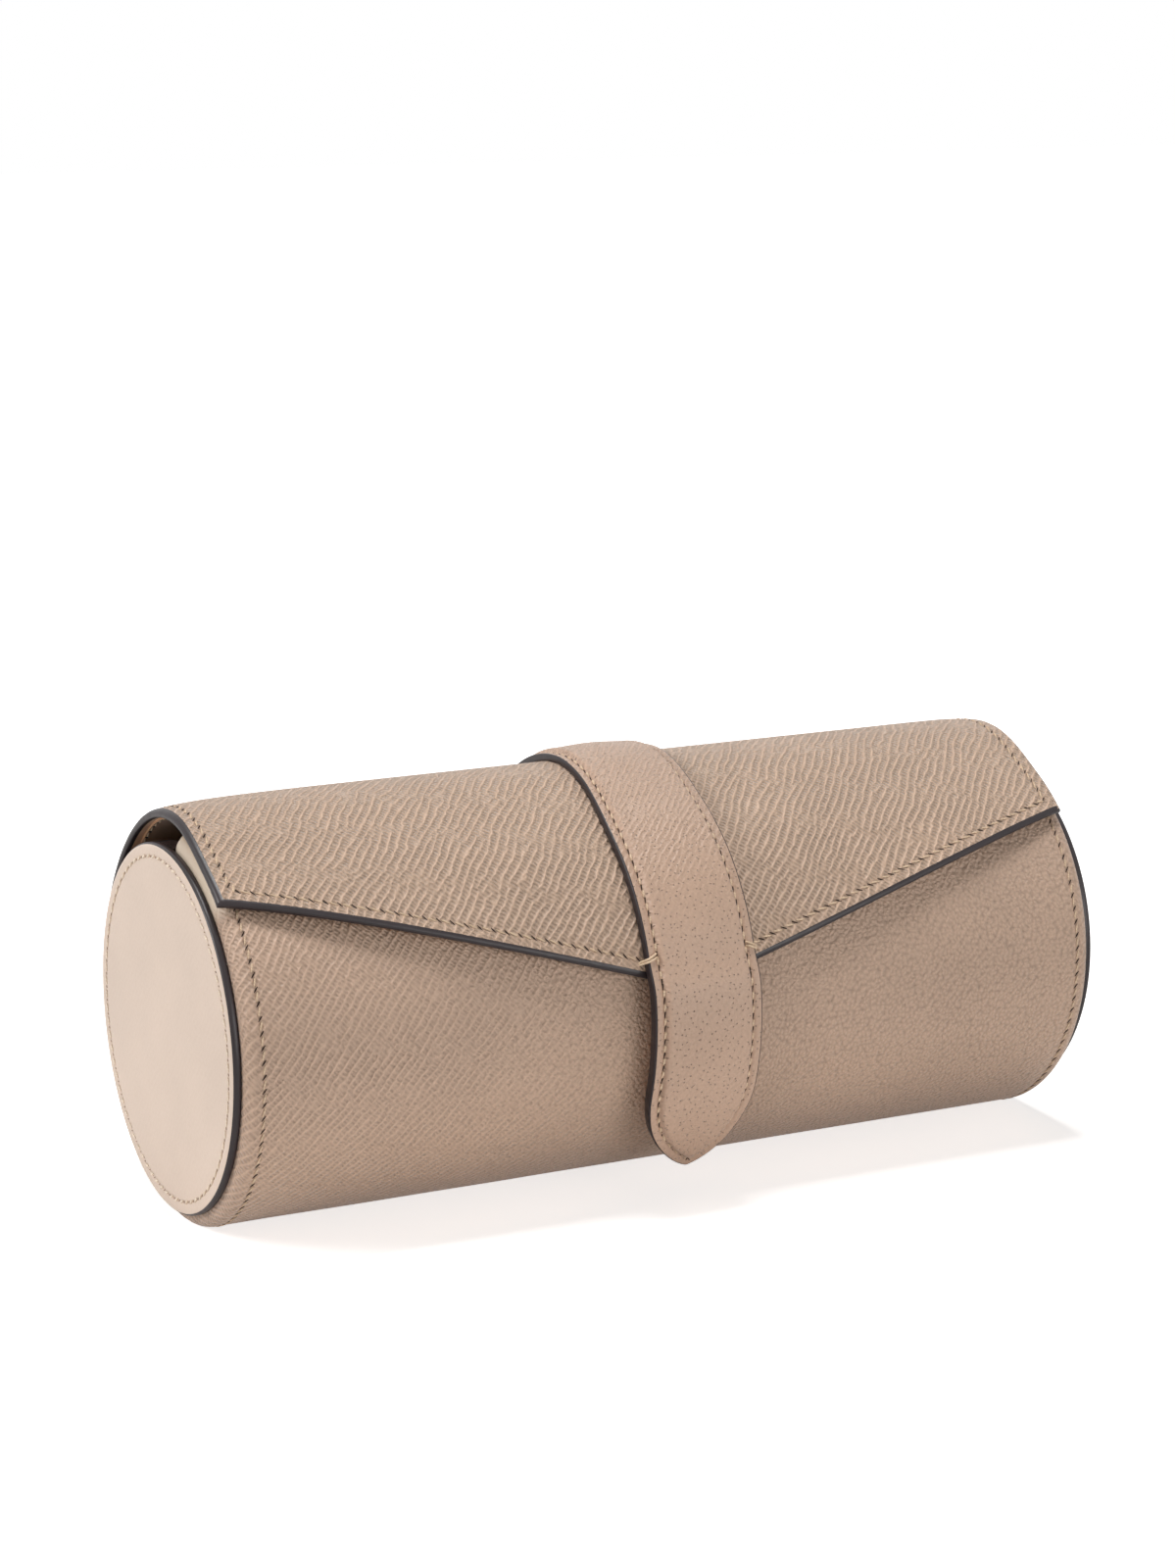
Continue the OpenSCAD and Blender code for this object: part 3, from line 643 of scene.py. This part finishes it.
flap_calf = pressed_calf("pressed_calf_flap", "#BFA28B", 1.72, 1.15, 0.55)
lining_calf = pressed_calf("lining_calf", "#CFA077", 0.9, 0.03, 0.04, rough=0.6, pebble_share=0.7)
x_cuts = ([-101.5 + 1.4 * k for k in range(9)] + [-88 + 6 * k for k in range(30)]
          + [91 + 1.6 * k for k in range(7)])
s_cuts = [math.radians(-87.5 + 2.5 * k) * FLAP_REF for k in range(66)]
fold_s = math.radians(FOLD_DEG) * FLAP_REF


def flap_gap(x, s):
    """The distance from a flat point of the flap to its nearest cut edge, aslant at the lower cuts."""
    deg = math.degrees(s / FLAP_REF)
    low = min(*low_edges(x), BLUNT) - deg
    return min(x - side_x(LEFT_X, deg), side_x(RIGHT_X, deg) - x, math.radians(low) * FLAP_REF * 0.956)


def paint_width(x, s):
    """How far the paint laps on to the face. It runs out where the sides go in under the discs."""
    return (0.3 if RIGHT_X - x < 1.3 else 1.25) * ease((math.degrees(s / FLAP_REF) + 78) / 12)


bm = cut_leather(flap_outline(0, reach=1.0), (0.12, 0.45, 0.85, 1.3, 3.0, 3.6, 4.2), x_cuts, s_cuts,
                 keep=(fold_s, 1e3))
thicken(bm, FLAP_T, flap_gap, 1.3, flat=0.25, paint=paint_width)
for vert in bm.verts:
    if vert.co.z > -0.5:
        vert.co.z -= pressed(flap_gap(vert.co.x, vert.co.y) - FLAP_ROW, 0.2, 0.45)
bend(bm, flap_place)
flap = finish_piece(bm, "flap", [flap_calf, edge_paint, lining_calf])
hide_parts("flap_leather", "flap_reinforcement")
fold_line = around(0, math.radians(FOLD_DEG), BODY_R), around(0, math.radians(-66), BODY_R)
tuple(fold_line[0])
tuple(fold_line[1])
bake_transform(flap)


# Flap lining: thin brown calf, glued under the flap and carried down inside the case's back wall,
# so that it is also the hinge. It lies 1.6 mm inside the flap's edges.
LINING_T, LINING_EDGE, BETWEEN_ENDS = 0.5, 1.6, 99.3


def lining_place(x, s, h):
    """Bends the lining: under the flap, and down on to the lined wall past the fold."""
    a = s / FLAP_REF
    under = flap_r(x, a) - FLAP_T + curl(x, a)
    return around(x, a, WALL_IN + (under - WALL_IN) * ease((math.degrees(a) + 80.6) / 5) + h)


low_s = math.radians(-67) * FLAP_REF
lining_outline = [(min(max(x, -BETWEEN_ENDS), BETWEEN_ENDS) if s < low_s else x, s)
                  for x, s in flap_outline(LINING_EDGE, back=-76)]
lining_outline = ([on_flap(-98.0, -87), on_flap(-98.0, -79.6)] + lining_outline
                  + [on_flap(98.0, -79.6), on_flap(98.0, -87)])
bm = cut_leather(lining_outline, (), x_cuts, [math.radians(-87 + 1.25 * k) * FLAP_REF for k in range(131)])
thicken(bm, LINING_T, lambda x, s: flap_gap(x, s) - LINING_EDGE, 0.4, flat=0.8, under=0)
bend(bm, lining_place)
lining = finish_piece(bm, "flap_lining_sheet", [lining_calf, edge_paint])
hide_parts("flap_lining")
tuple(fold_line[0])
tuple(fold_line[1])
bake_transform(lining)

bm = bmesh.new()
sew(bm, flap_outline(FLAP_ROW, back=-77), -0.09)
sew(bm, flap_outline(FLAP_ROW, back=-74), -FLAP_T - LINING_T, lean=8, slope=45, slit_size=(0.8, 0.22),
    under=True)
bend(bm, flap_place)
row = finish_piece(bm, "flap_stitches", [thread, slit])
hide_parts("flap_thread")
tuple(fold_line[0])
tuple(fold_line[1])
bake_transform(row)


# Strap: calf folded over a thin foam crown and sewn 2.3 mm from its painted edges. It is sewn to the
# back of the case, lies over the flap, and its free end stands off the front wall on a stiff core.
STRAP_REF, STRAP_X, STRAP_HALF, TIP_LEN, ROW_IN = 49.0, 0.6, 13.0, 22.0, 2.3
STRAP_T, MARGIN_T, SPRING, FLICK, FLICK_DEG = 2.3, 2.4, 1.05, 2.0, 25.7
TAIL_DEG, TIP_DEG, JOIN_DEG, TACK_DEG = -128.0, 133.8, -40.0, 71.0
tail_s, join_s, tip_s = (math.radians(deg) * STRAP_REF for deg in (TAIL_DEG, JOIN_DEG, TIP_DEG))


def strap_base(a):
    """The radius of the face the strap lies on, and the strap's thickness there. It is pressed thin
    over the top, and springs off the front wall where it leaves the flap, most at its tip."""
    deg = math.degrees(a)
    free = ease((deg - TACK_DEG) / 11)
    thick = STRAP_T + 0.4 * free - pressed(deg + 2, 0.6, 26)
    tip = max((deg - (TIP_DEG - FLICK_DEG)) / FLICK_DEG, 0.0)
    return flap_r(0, a) + SPRING * free + FLICK * tip ** 2, thick


def strap_place(x, s, h):
    """Bends the strap, whose top and tip lie a little to the right. Heights over its margin are in mm,
    and depths in shares of its own thickness."""
    a = s / STRAP_REF
    lie, thick = strap_base(a)
    over = 1 - ease((math.degrees(a) - 12) / 26)
    x += 0.9 * ease((math.degrees(a) - 118) / 16) + (0.9 - 0.04 * x) * over
    return around(x + STRAP_X, a, lie + thick + (h if h > 0 else h * thick))


def tip_share(u):
    """The strap's width at u mm from the point of either end, as a share of its full width."""
    return (1 - (1 - min(u / TIP_LEN, 1)) ** 2) ** 0.72


def strap_outline():
    """The strap's cut shape: straight sides and a soft point at each end."""
    along = [TIP_LEN * (1 - math.cos(math.pi / 2 * k / 14)) for k in range(1, 15)]
    side = [(STRAP_HALF * tip_share(u), u) for u in along]
    tip = [(-x, u) for x, u in reversed(side)] + [(0, 0)] + side
    return [(x, tip_s - u) for x, u in tip] + [(-x, tail_s + u) for x, u in tip]


def strap_crown(gap):
    """The height of the strap's face over its flat margin: a sewn groove, then a round foam shoulder."""
    shoulder, middle = 0.95 * ease(gap - ROW_IN - 0.05), 0.4 * ease((gap - 3.4) / 9)
    return shoulder + middle - pressed(gap - ROW_IN, 0.42, 0.4)


def over_margin(lift):
    """A height over the strap's margin as strap_place takes it: as a share where it is below."""
    return lift if lift > 0 else lift / MARGIN_T


strap_calf = pressed_calf("smooth_calf_strap", "#C0A18B", 1.35, 0.55, 0.3, fade=("Y", 15, 62), fade_to=0.2,
                          pores=0.35, rough=0.42, pebble_share=0.35)
strap_edge = [Vector(p) for p in strap_outline()]


def strap_gap(x, s):
    """The distance from a flat point of the strap to its nearest cut edge."""
    best = STRAP_HALF - abs(x)
    if tail_s + TIP_LEN < s < tip_s - TIP_LEN:
        return best
    for a, b in zip(strap_edge, strap_edge[1:] + strap_edge[:1]):
        if abs(a.y - s) > 14 or a.x * x < 0:
            continue
        along = b - a
        t = min(max((Vector((x, s)) - a).dot(along) / along.length_squared, 0), 1)
        best = min(best, (Vector((x, s)) - a - along * t).length)
    return best


gaps = (1.4, 1.9, 2.3, 2.6, 2.9, 3.2, 3.6, 4, 4.5, 5.2, 6, 7, 7.5, 8, 8.5, 9, 9.5, 10.5, 11.2, 12, 13)
x_cuts = [sign * (STRAP_HALF - gap) for gap in gaps for sign in (-1, 1)]
s_cuts = [math.radians(deg) * STRAP_REF for deg in [-127.4 + 0.9 * k for k in range(28)]
          + [133.2 - 0.9 * k for k in range(28)] + [-102 + 2 * k for k in range(106)]]
strap_line = around(0, math.radians(72), 48), around(0, math.radians(84), 48)
for name, keep, nodes, bodies, line in (
        ("strap_tail_cover", (-1e3, join_s), ("strap_tail", "strap_tail_padding"),
         ("case", "flap"), fold_line),
        ("strap", (join_s, 1e3), ("strap_leather", "strap_padding", "strap_backing", "strap_end_leather",
                                  "strap_end_padding", "strap_end_core", "strap_end_lining"),
         ("flap", "strap_end"), strap_line)):
    bm = cut_leather(strap_outline(), (0.08, 0.2, 0.38), x_cuts, s_cuts, keep=keep)
    thicken(bm, 1.0, strap_gap, 0.38, flat=0.6)
    for vert in bm.verts:
        gap = strap_gap(vert.co.x, vert.co.y)
        if vert.co.z > -0.01 and gap > 0.39:
            vert.co.z = over_margin(strap_crown(gap))
    bend(bm, strap_place)
    piece = finish_piece(bm, name, [strap_calf, edge_paint, lining_calf])
    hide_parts(*nodes)
    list(bodies)
    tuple(line[0])
    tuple(line[1])
    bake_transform(piece)


def strap_row():
    """Each side's row, always as far from the strap's edge, from the tail's point to the free end's."""
    steps = [tail_s + 0.5 * k for k in range(52)] + [tail_s + TIP_LEN + 6 + 3 * k for k in range(55)]
    steps = [s for s in steps if s < tip_s - TIP_LEN - 4] + [tip_s - 0.5 * k for k in range(52, -1, -1)]
    side = []
    for s in steps:
        if strap_gap(0, s) < ROW_IN or not tail_s < s < tip_s:
            continue
        near, far, share = 0.0, STRAP_HALF, tip_share(min(s - tail_s, tip_s - s))
        for _ in range(14):
            mid = (near + far) / 2
            inside = strap_gap(mid, s) > ROW_IN and mid < STRAP_HALF * share
            near, far = (mid, far) if inside else (near, mid)
        side.append((near, s))
    first, last = (0, side[0][1] - 0.2), (0, side[-1][1] + 0.2)
    return [first] + [(-x, s) for x, s in side] + [last], [first] + side + [last]


def dense(points):
    """The same path with points less than 2 mm apart."""
    out = []
    for a, b in zip(points, points[1:]):
        a, b = Vector(a), Vector(b)
        n = max(int((b - a).length), 1)
        out += [a + (b - a) * k / n for k in range(n)]
    return out + [Vector(points[-1])]


strap_rows = [dense(row) for row in strap_row()]
for name, node, first, last in (("strap_tail_stitches", "strap_tail_thread", -130, -84),
                                ("strap_stitches", "strap_thread", -84, 77.8),
                                ("strap_end_stitches", "strap_end_thread", 77.8, 136)):
    bm = bmesh.new()
    for row in strap_rows:
        run = [at for at in row if math.radians(first) <= at.y / STRAP_REF <= math.radians(last)]
        sew(bm, run, lean=8, slope=12, slit_size=(0.9, 0.15), fat=1.1, stitch=1.95)
    bend(bm, lambda x, s, h: strap_place(x, s, over_margin(h + strap_crown(strap_gap(x, s)) + 0.09)))
    row = finish_piece(bm, name, [thread, slit])
    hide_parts(node)
    if name == "strap_tail_stitches":
        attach(row, "case")
    elif name == "strap_stitches":
        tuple(fold_line[0])
        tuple(fold_line[1])
        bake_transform(row)
    else:
        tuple(strap_line[0])
        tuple(strap_line[1])
        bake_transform(row)


# Bar tacks: two loops of the same thread over each edge of the strap, where it leaves the flap.
# They hold the strap's margin down on the flap.
def thread_loop(name, points, radius, ring=False):
    """A length of thread that follows the points, and meets itself where it is a ring."""
    curve = bpy.data.curves.new(name, "CURVE")
    curve.dimensions, curve.bevel_depth, curve.bevel_resolution = "3D", radius, 2
    curve.use_fill_caps = not ring
    line = curve.splines.new("BEZIER")
    line.bezier_points.add(len(points) - 1)
    for knot, at in zip(line.bezier_points, points):
        knot.co, knot.handle_left_type, knot.handle_right_type = at, "AUTO", "AUTO"
    line.resolution_u, line.use_cyclic_u = 4, ring
    shape = bpy.data.objects.new(name, curve)
    mesh = bpy.data.meshes.new_from_object(shape)
    bpy.data.objects.remove(shape)
    return mesh


bm = bmesh.new()
for sign in (-1, 1):
    for offset, dip in ((-0.55, 0.0), (0.45, 0.05)):
        a = math.radians(TACK_DEG + offset)
        under = strap_base(a)[0]
        over = under + 2.4
        spots = ((10.9, over - 0.3), (11.3, over + 0.12 + dip), (12.7, over + 0.16 + dip),
                 (13.25, over - 0.3), (13.5, over - 1.2), (13.7, under + 0.45),
                 (14.1, under + 0.15 + dip), (14.5, under - 0.25))
        spread = 0.5 - offset * 0.15
        points = [around(STRAP_X + sign * x, a + math.radians((x - 10.9) * spread), r) for x, r in spots]
        bm.from_mesh(thread_loop("tack_loop", points, 0.00026))
tacks = finish_piece(bm, "bar_tack_loops", [thread], weld=2e-6)
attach(tacks, "flap")
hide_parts("bar_tacks")


# Case lining: brown suede, glued inside the fibreboard tube and on the round board at each end.
# Its nap shows as soft blotches, lighter where it is brushed one way.
def brushed_suede(name, dark, pale):
    """Suede: a short matt nap, blotched where it lies different ways."""
    material, tree = new_material(name)
    place = add(tree, "TexCoord").outputs["Object"]
    brushed = add(tree, "TexNoise", {"Vector": place, "Scale": 70.0, "Detail": 4.0, "Roughness": 0.6})
    nap = add(tree, "TexNoise", {"Vector": place, "Scale": 1600.0, "Detail": 2.0})
    mixed = add(tree, "Mix", {0: 0.35, 2: brushed.outputs["Fac"], 3: nap.outputs["Fac"]}, data_type="FLOAT")
    dye = add(tree, "ValToRGB", {"Fac": mixed})
    dye.color_ramp.elements[0].position, dye.color_ramp.elements[0].color = 0.3, tint(dark)
    dye.color_ramp.elements[1].position, dye.color_ramp.elements[1].color = 0.7, tint(pale)
    bump = add(tree, "Bump", {"Height": nap.outputs["Fac"], "Strength": 0.6, "Distance": 0.0001})
    fluff = add(tree, "BsdfPrincipled", {
        "Base Color": dye.outputs["Color"], "Roughness": 0.95, "Sheen Weight": 0.25,
        "Sheen Roughness": 0.4, "Normal": bump})
    add(tree, "OutputMaterial", {"Surface": fluff})
    return material


suede = brushed_suede("brushed_suede", "#86684C", "#A4866A")
LINING_OUT, LINING_X, LINING_LIP = 39.9, 99.2, 3.6
bm = bmesh.new()
rim_x = [LINING_X * (1 - k / 10) for k in range(21)]
outline = [(x, LINING_OUT) for x in rim_x] + [(x, WALL_IN) for x in reversed(rim_x)]
section = bm.faces.new([bm.verts.new(around(x, math.radians(LINING_LIP), r)) for x, r in outline])
spin_round(bm, [section], WALL_SWEEP)
for vert in bm.verts:
    x, a, r = polar(vert.co)
    if r < 39.5:
        vert.co = around(x, a, r + 0.12 * noise.noise(Vector((x / 14, a * 3, 1.0))))
case_lining = finish_piece(bm, "case_lining_sheet", [suede])
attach(case_lining, "case")
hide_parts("case_lining")

for side, sign in SIDES:
    face = [(98.0, 0), (98.02, 12), (98.1, 24), (98.25, 33), (98.5, 37.5), (98.8, 38.9),
            (LINING_X, WALL_IN), (LINING_X, 0)]
    bm = turned_round([(sign * x, r) for x, r in face], 96)
    pad = finish_piece(bm, side + "_end_pad", [suede])
    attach(pad, "case")
    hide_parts(side + "_end_lining")


# Dividers: a board between each two watches, padded on both sides and covered in suede.
# Their tops follow the mouth, a little below the flap.
DIVIDER_X, DIVIDER_TOP, MOUTH_MID = 33.97, 24.1, math.radians(-39.0)
for side, sign in SIDES:
    half = [(3.62, 0), (3.6, 14), (3.56, 26), (3.5, 33), (3.3, 36), (2.8, 37.8), (2.0, 38.8), (1.0, 39.05)]
    bm = turned_round(half + [(-x, r) for x, r in reversed(half)], 96)
    up = (around(0, MOUTH_MID, 1) - around(0, 0, 0)).normalized()
    slice_at(bm, around(0, MOUTH_MID, DIVIDER_TOP), up, dist=1e-6, clear_outer=True)
    lid = bmesh.ops.holes_fill(bm, edges=[e for e in bm.edges if e.is_boundary], sides=0)["faces"]
    bmesh.ops.recalc_face_normals(bm, faces=bm.faces)
    rim = [e for f in lid for e in f.edges if all(abs(abs(v.co.x * 1000) - 3.5) < 0.2 for v in e.verts)]
    bmesh.ops.bevel(bm, geom=rim, offset=0.0024, segments=5, profile=0.5, affect="EDGES", material=-1)
    bmesh.ops.translate(bm, verts=bm.verts, vec=(sign * DIVIDER_X / 1000, 0, 0))
    pad = finish_piece(bm, side + "_divider", [suede], weld=2e-6)
    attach(pad, "case")
    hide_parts(side + "_divider_pad")


# Watch pillows: foam in a suede sleeve, with a corded seam round each end panel.
# A watch is buckled round each one, and the pillow is pushed down into its bay.
PILLOW_HALF, PILLOW_PITCH, PILLOW_MID = Vector((26.07, 23.95, 29.0)) / 1000, 67.93, -9.8
STUFF, STUFF_CAP, SEAM_X, CORD_R = 0.0027, 0.0026, 0.0215, 0.0008


def puffed(obj, pressure, cap):
    """Blows the sewn cover up round its filling, and lets no point move further than the cap."""
    remesh = obj.modifiers.new("remesh", "REMESH")
    remesh.mode, remesh.voxel_size = "VOXEL", 0.0042
    bpy.context.view_layer.update()
    start = bpy.data.meshes.new_from_object(obj.evaluated_get(bpy.context.evaluated_depsgraph_get()))
    obj.modifiers.clear()
    obj.data = start
    before = [v.co.copy() for v in start.vertices]
    cloth = obj.modifiers.new("cloth", "CLOTH")
    cloth.settings.use_pressure, cloth.settings.uniform_pressure_force = True, pressure
    cloth.settings.effector_weights.gravity = 0
    for frame_number in range(1, 21):
        bpy.context.scene.frame_set(frame_number)
    blown = bpy.data.meshes.new_from_object(obj.evaluated_get(bpy.context.evaluated_depsgraph_get()))
    obj.modifiers.clear()
    obj.data = blown
    for vert, old in zip(blown.vertices, before):
        moved = vert.co - old
        if moved.length > cap:
            vert.co = old + moved.normalized() * cap
    bpy.context.scene.frame_set(1)


bm = bmesh.new()
empty = PILLOW_HALF - Vector((STUFF, STUFF, STUFF))
bmesh.ops.create_cube(bm, size=2, matrix=Matrix.Diagonal((*empty, 1)))
bmesh.ops.bevel(bm, geom=bm.edges[:], offset=0.009, segments=5, profile=0.5, affect="EDGES", material=-1)
blank = put("pillow_blank", mesh_of(bm, "pillow_cover"))
puffed(blank, 4.0, STUFF_CAP)
bm = bmesh.new()
bm.from_mesh(blank.data)
bpy.data.objects.remove(blank)
bmesh.ops.subdivide_edges(bm, edges=bm.edges[:], cuts=1, use_grid_fill=True, smooth=0.6)
bmesh.ops.smooth_vert(bm, verts=bm.verts[:], factor=0.5, use_axis_x=True, use_axis_y=True,
                      use_axis_z=True)
skin = BVHTree.FromBMesh(bm)
for sign in (-1, 1):
    ring = []
    for k in range(48):
        aim = Vector((0, math.cos(math.tau * k / 48), math.sin(math.tau * k / 48)))
        hit = skin.ray_cast(Vector((sign * SEAM_X, 0, 0)), aim)[0]
        ring.append(hit + aim * 0.0001)
    bm.from_mesh(thread_loop("corded_seam", ring, CORD_R, ring=True))
lay = (Matrix.Translation((0, 0, AXIS_H / 1000)) @ Matrix.Rotation(MOUTH_MID, 4, "X")
       @ Matrix.Translation((0, 0, PILLOW_MID / 1000)))
bmesh.ops.transform(bm, matrix=lay, verts=bm.verts)
for face in bm.faces:
    face.material_index = 1 if abs(face.calc_center_median().x) > SEAM_X else 0
panel_suede = brushed_suede("panel_suede", "#7C5F45", "#967860")
for k, side in enumerate(("left", "middle", "right")):
    one = bm.copy()
    bmesh.ops.translate(one, verts=one.verts, vec=((k - 1) * PILLOW_PITCH / 1000, 0, 0))
    pillow = finish_piece(one, side + "_pillow_puff", [suede, panel_suede])
    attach(pillow, side + "_pillow")
    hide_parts(side + "_pillow_foam", side + "_pillow_cover", side + "_pillow_panels")


# Boards and magnets: grey fibreboard that keeps the tube and its ends stiff, and plated steel
# magnets under the leather. All are hidden when the roll is whole. The end boards are painted dark.
def fibreboard(name, colour):
    """Pressed fibreboard: matt, flecked with short fibres."""
    material, tree = new_material(name)
    place = add(tree, "TexCoord").outputs["Object"]
    fleck = add(tree, "TexNoise", {"Vector": place, "Scale": 900.0, "Detail": 3.0, "Distortion": 1.5})
    shade = add(tree, "MapRange", {"Value": fleck.outputs["Fac"], "To Min": 0.8, "To Max": 1.2})
    base = add(tree, "VectorMath", {0: tint(colour)[:3], "Scale": shade}, operation="SCALE")
    bump = add(tree, "Bump", {"Height": fleck.outputs["Fac"], "Strength": 0.5, "Distance": 0.0001})
    pulp = add(tree, "BsdfPrincipled", {"Base Color": base, "Roughness": 0.9, "Normal": bump})
    add(tree, "OutputMaterial", {"Surface": pulp})
    return material


grey_board = fibreboard("pressed_fibreboard", "#8C7B66")
plated, tree = new_material("nickel_plated_steel")
place = add(tree, "TexCoord").outputs["Object"]
haze = add(tree, "TexNoise", {"Vector": place, "Scale": 600.0, "Detail": 2.0})
shine = add(tree, "MapRange", {"Value": haze.outputs["Fac"], "To Min": 0.2, "To Max": 0.32})
metal = add(tree, "BsdfPrincipled", {"Base Color": tint("#C6C2BA"), "Metallic": 1.0, "Roughness": shine})
add(tree, "OutputMaterial", {"Surface": metal})
for node, material in (
        ("case_board", grey_board), ("left_end_board", edge_paint), ("right_end_board", edge_paint),
        ("left_divider_board", grey_board), ("right_divider_board", grey_board), ("body_magnet", plated)):
    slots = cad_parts[node].data.materials
    slots.clear()
    slots.append(material)

MAGNET_R, MAGNET_T, MAGNET_DEG, MAGNET_AT = 0.006, 0.001, 114.0, 47.6
bm = bmesh.new()
bmesh.ops.create_cone(bm, cap_ends=True, segments=48, radius1=MAGNET_R, radius2=MAGNET_R, depth=MAGNET_T)
tilt = math.radians(MAGNET_DEG)
lay = Matrix.Translation(around(STRAP_X, tilt, MAGNET_AT)) @ Matrix.Rotation(tilt, 4, "X")
bmesh.ops.transform(bm, matrix=lay, verts=bm.verts)
magnet = finish_piece(bm, "strap_magnet_disc", [plated])
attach(magnet, "strap_end")
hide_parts("strap_end_magnet")
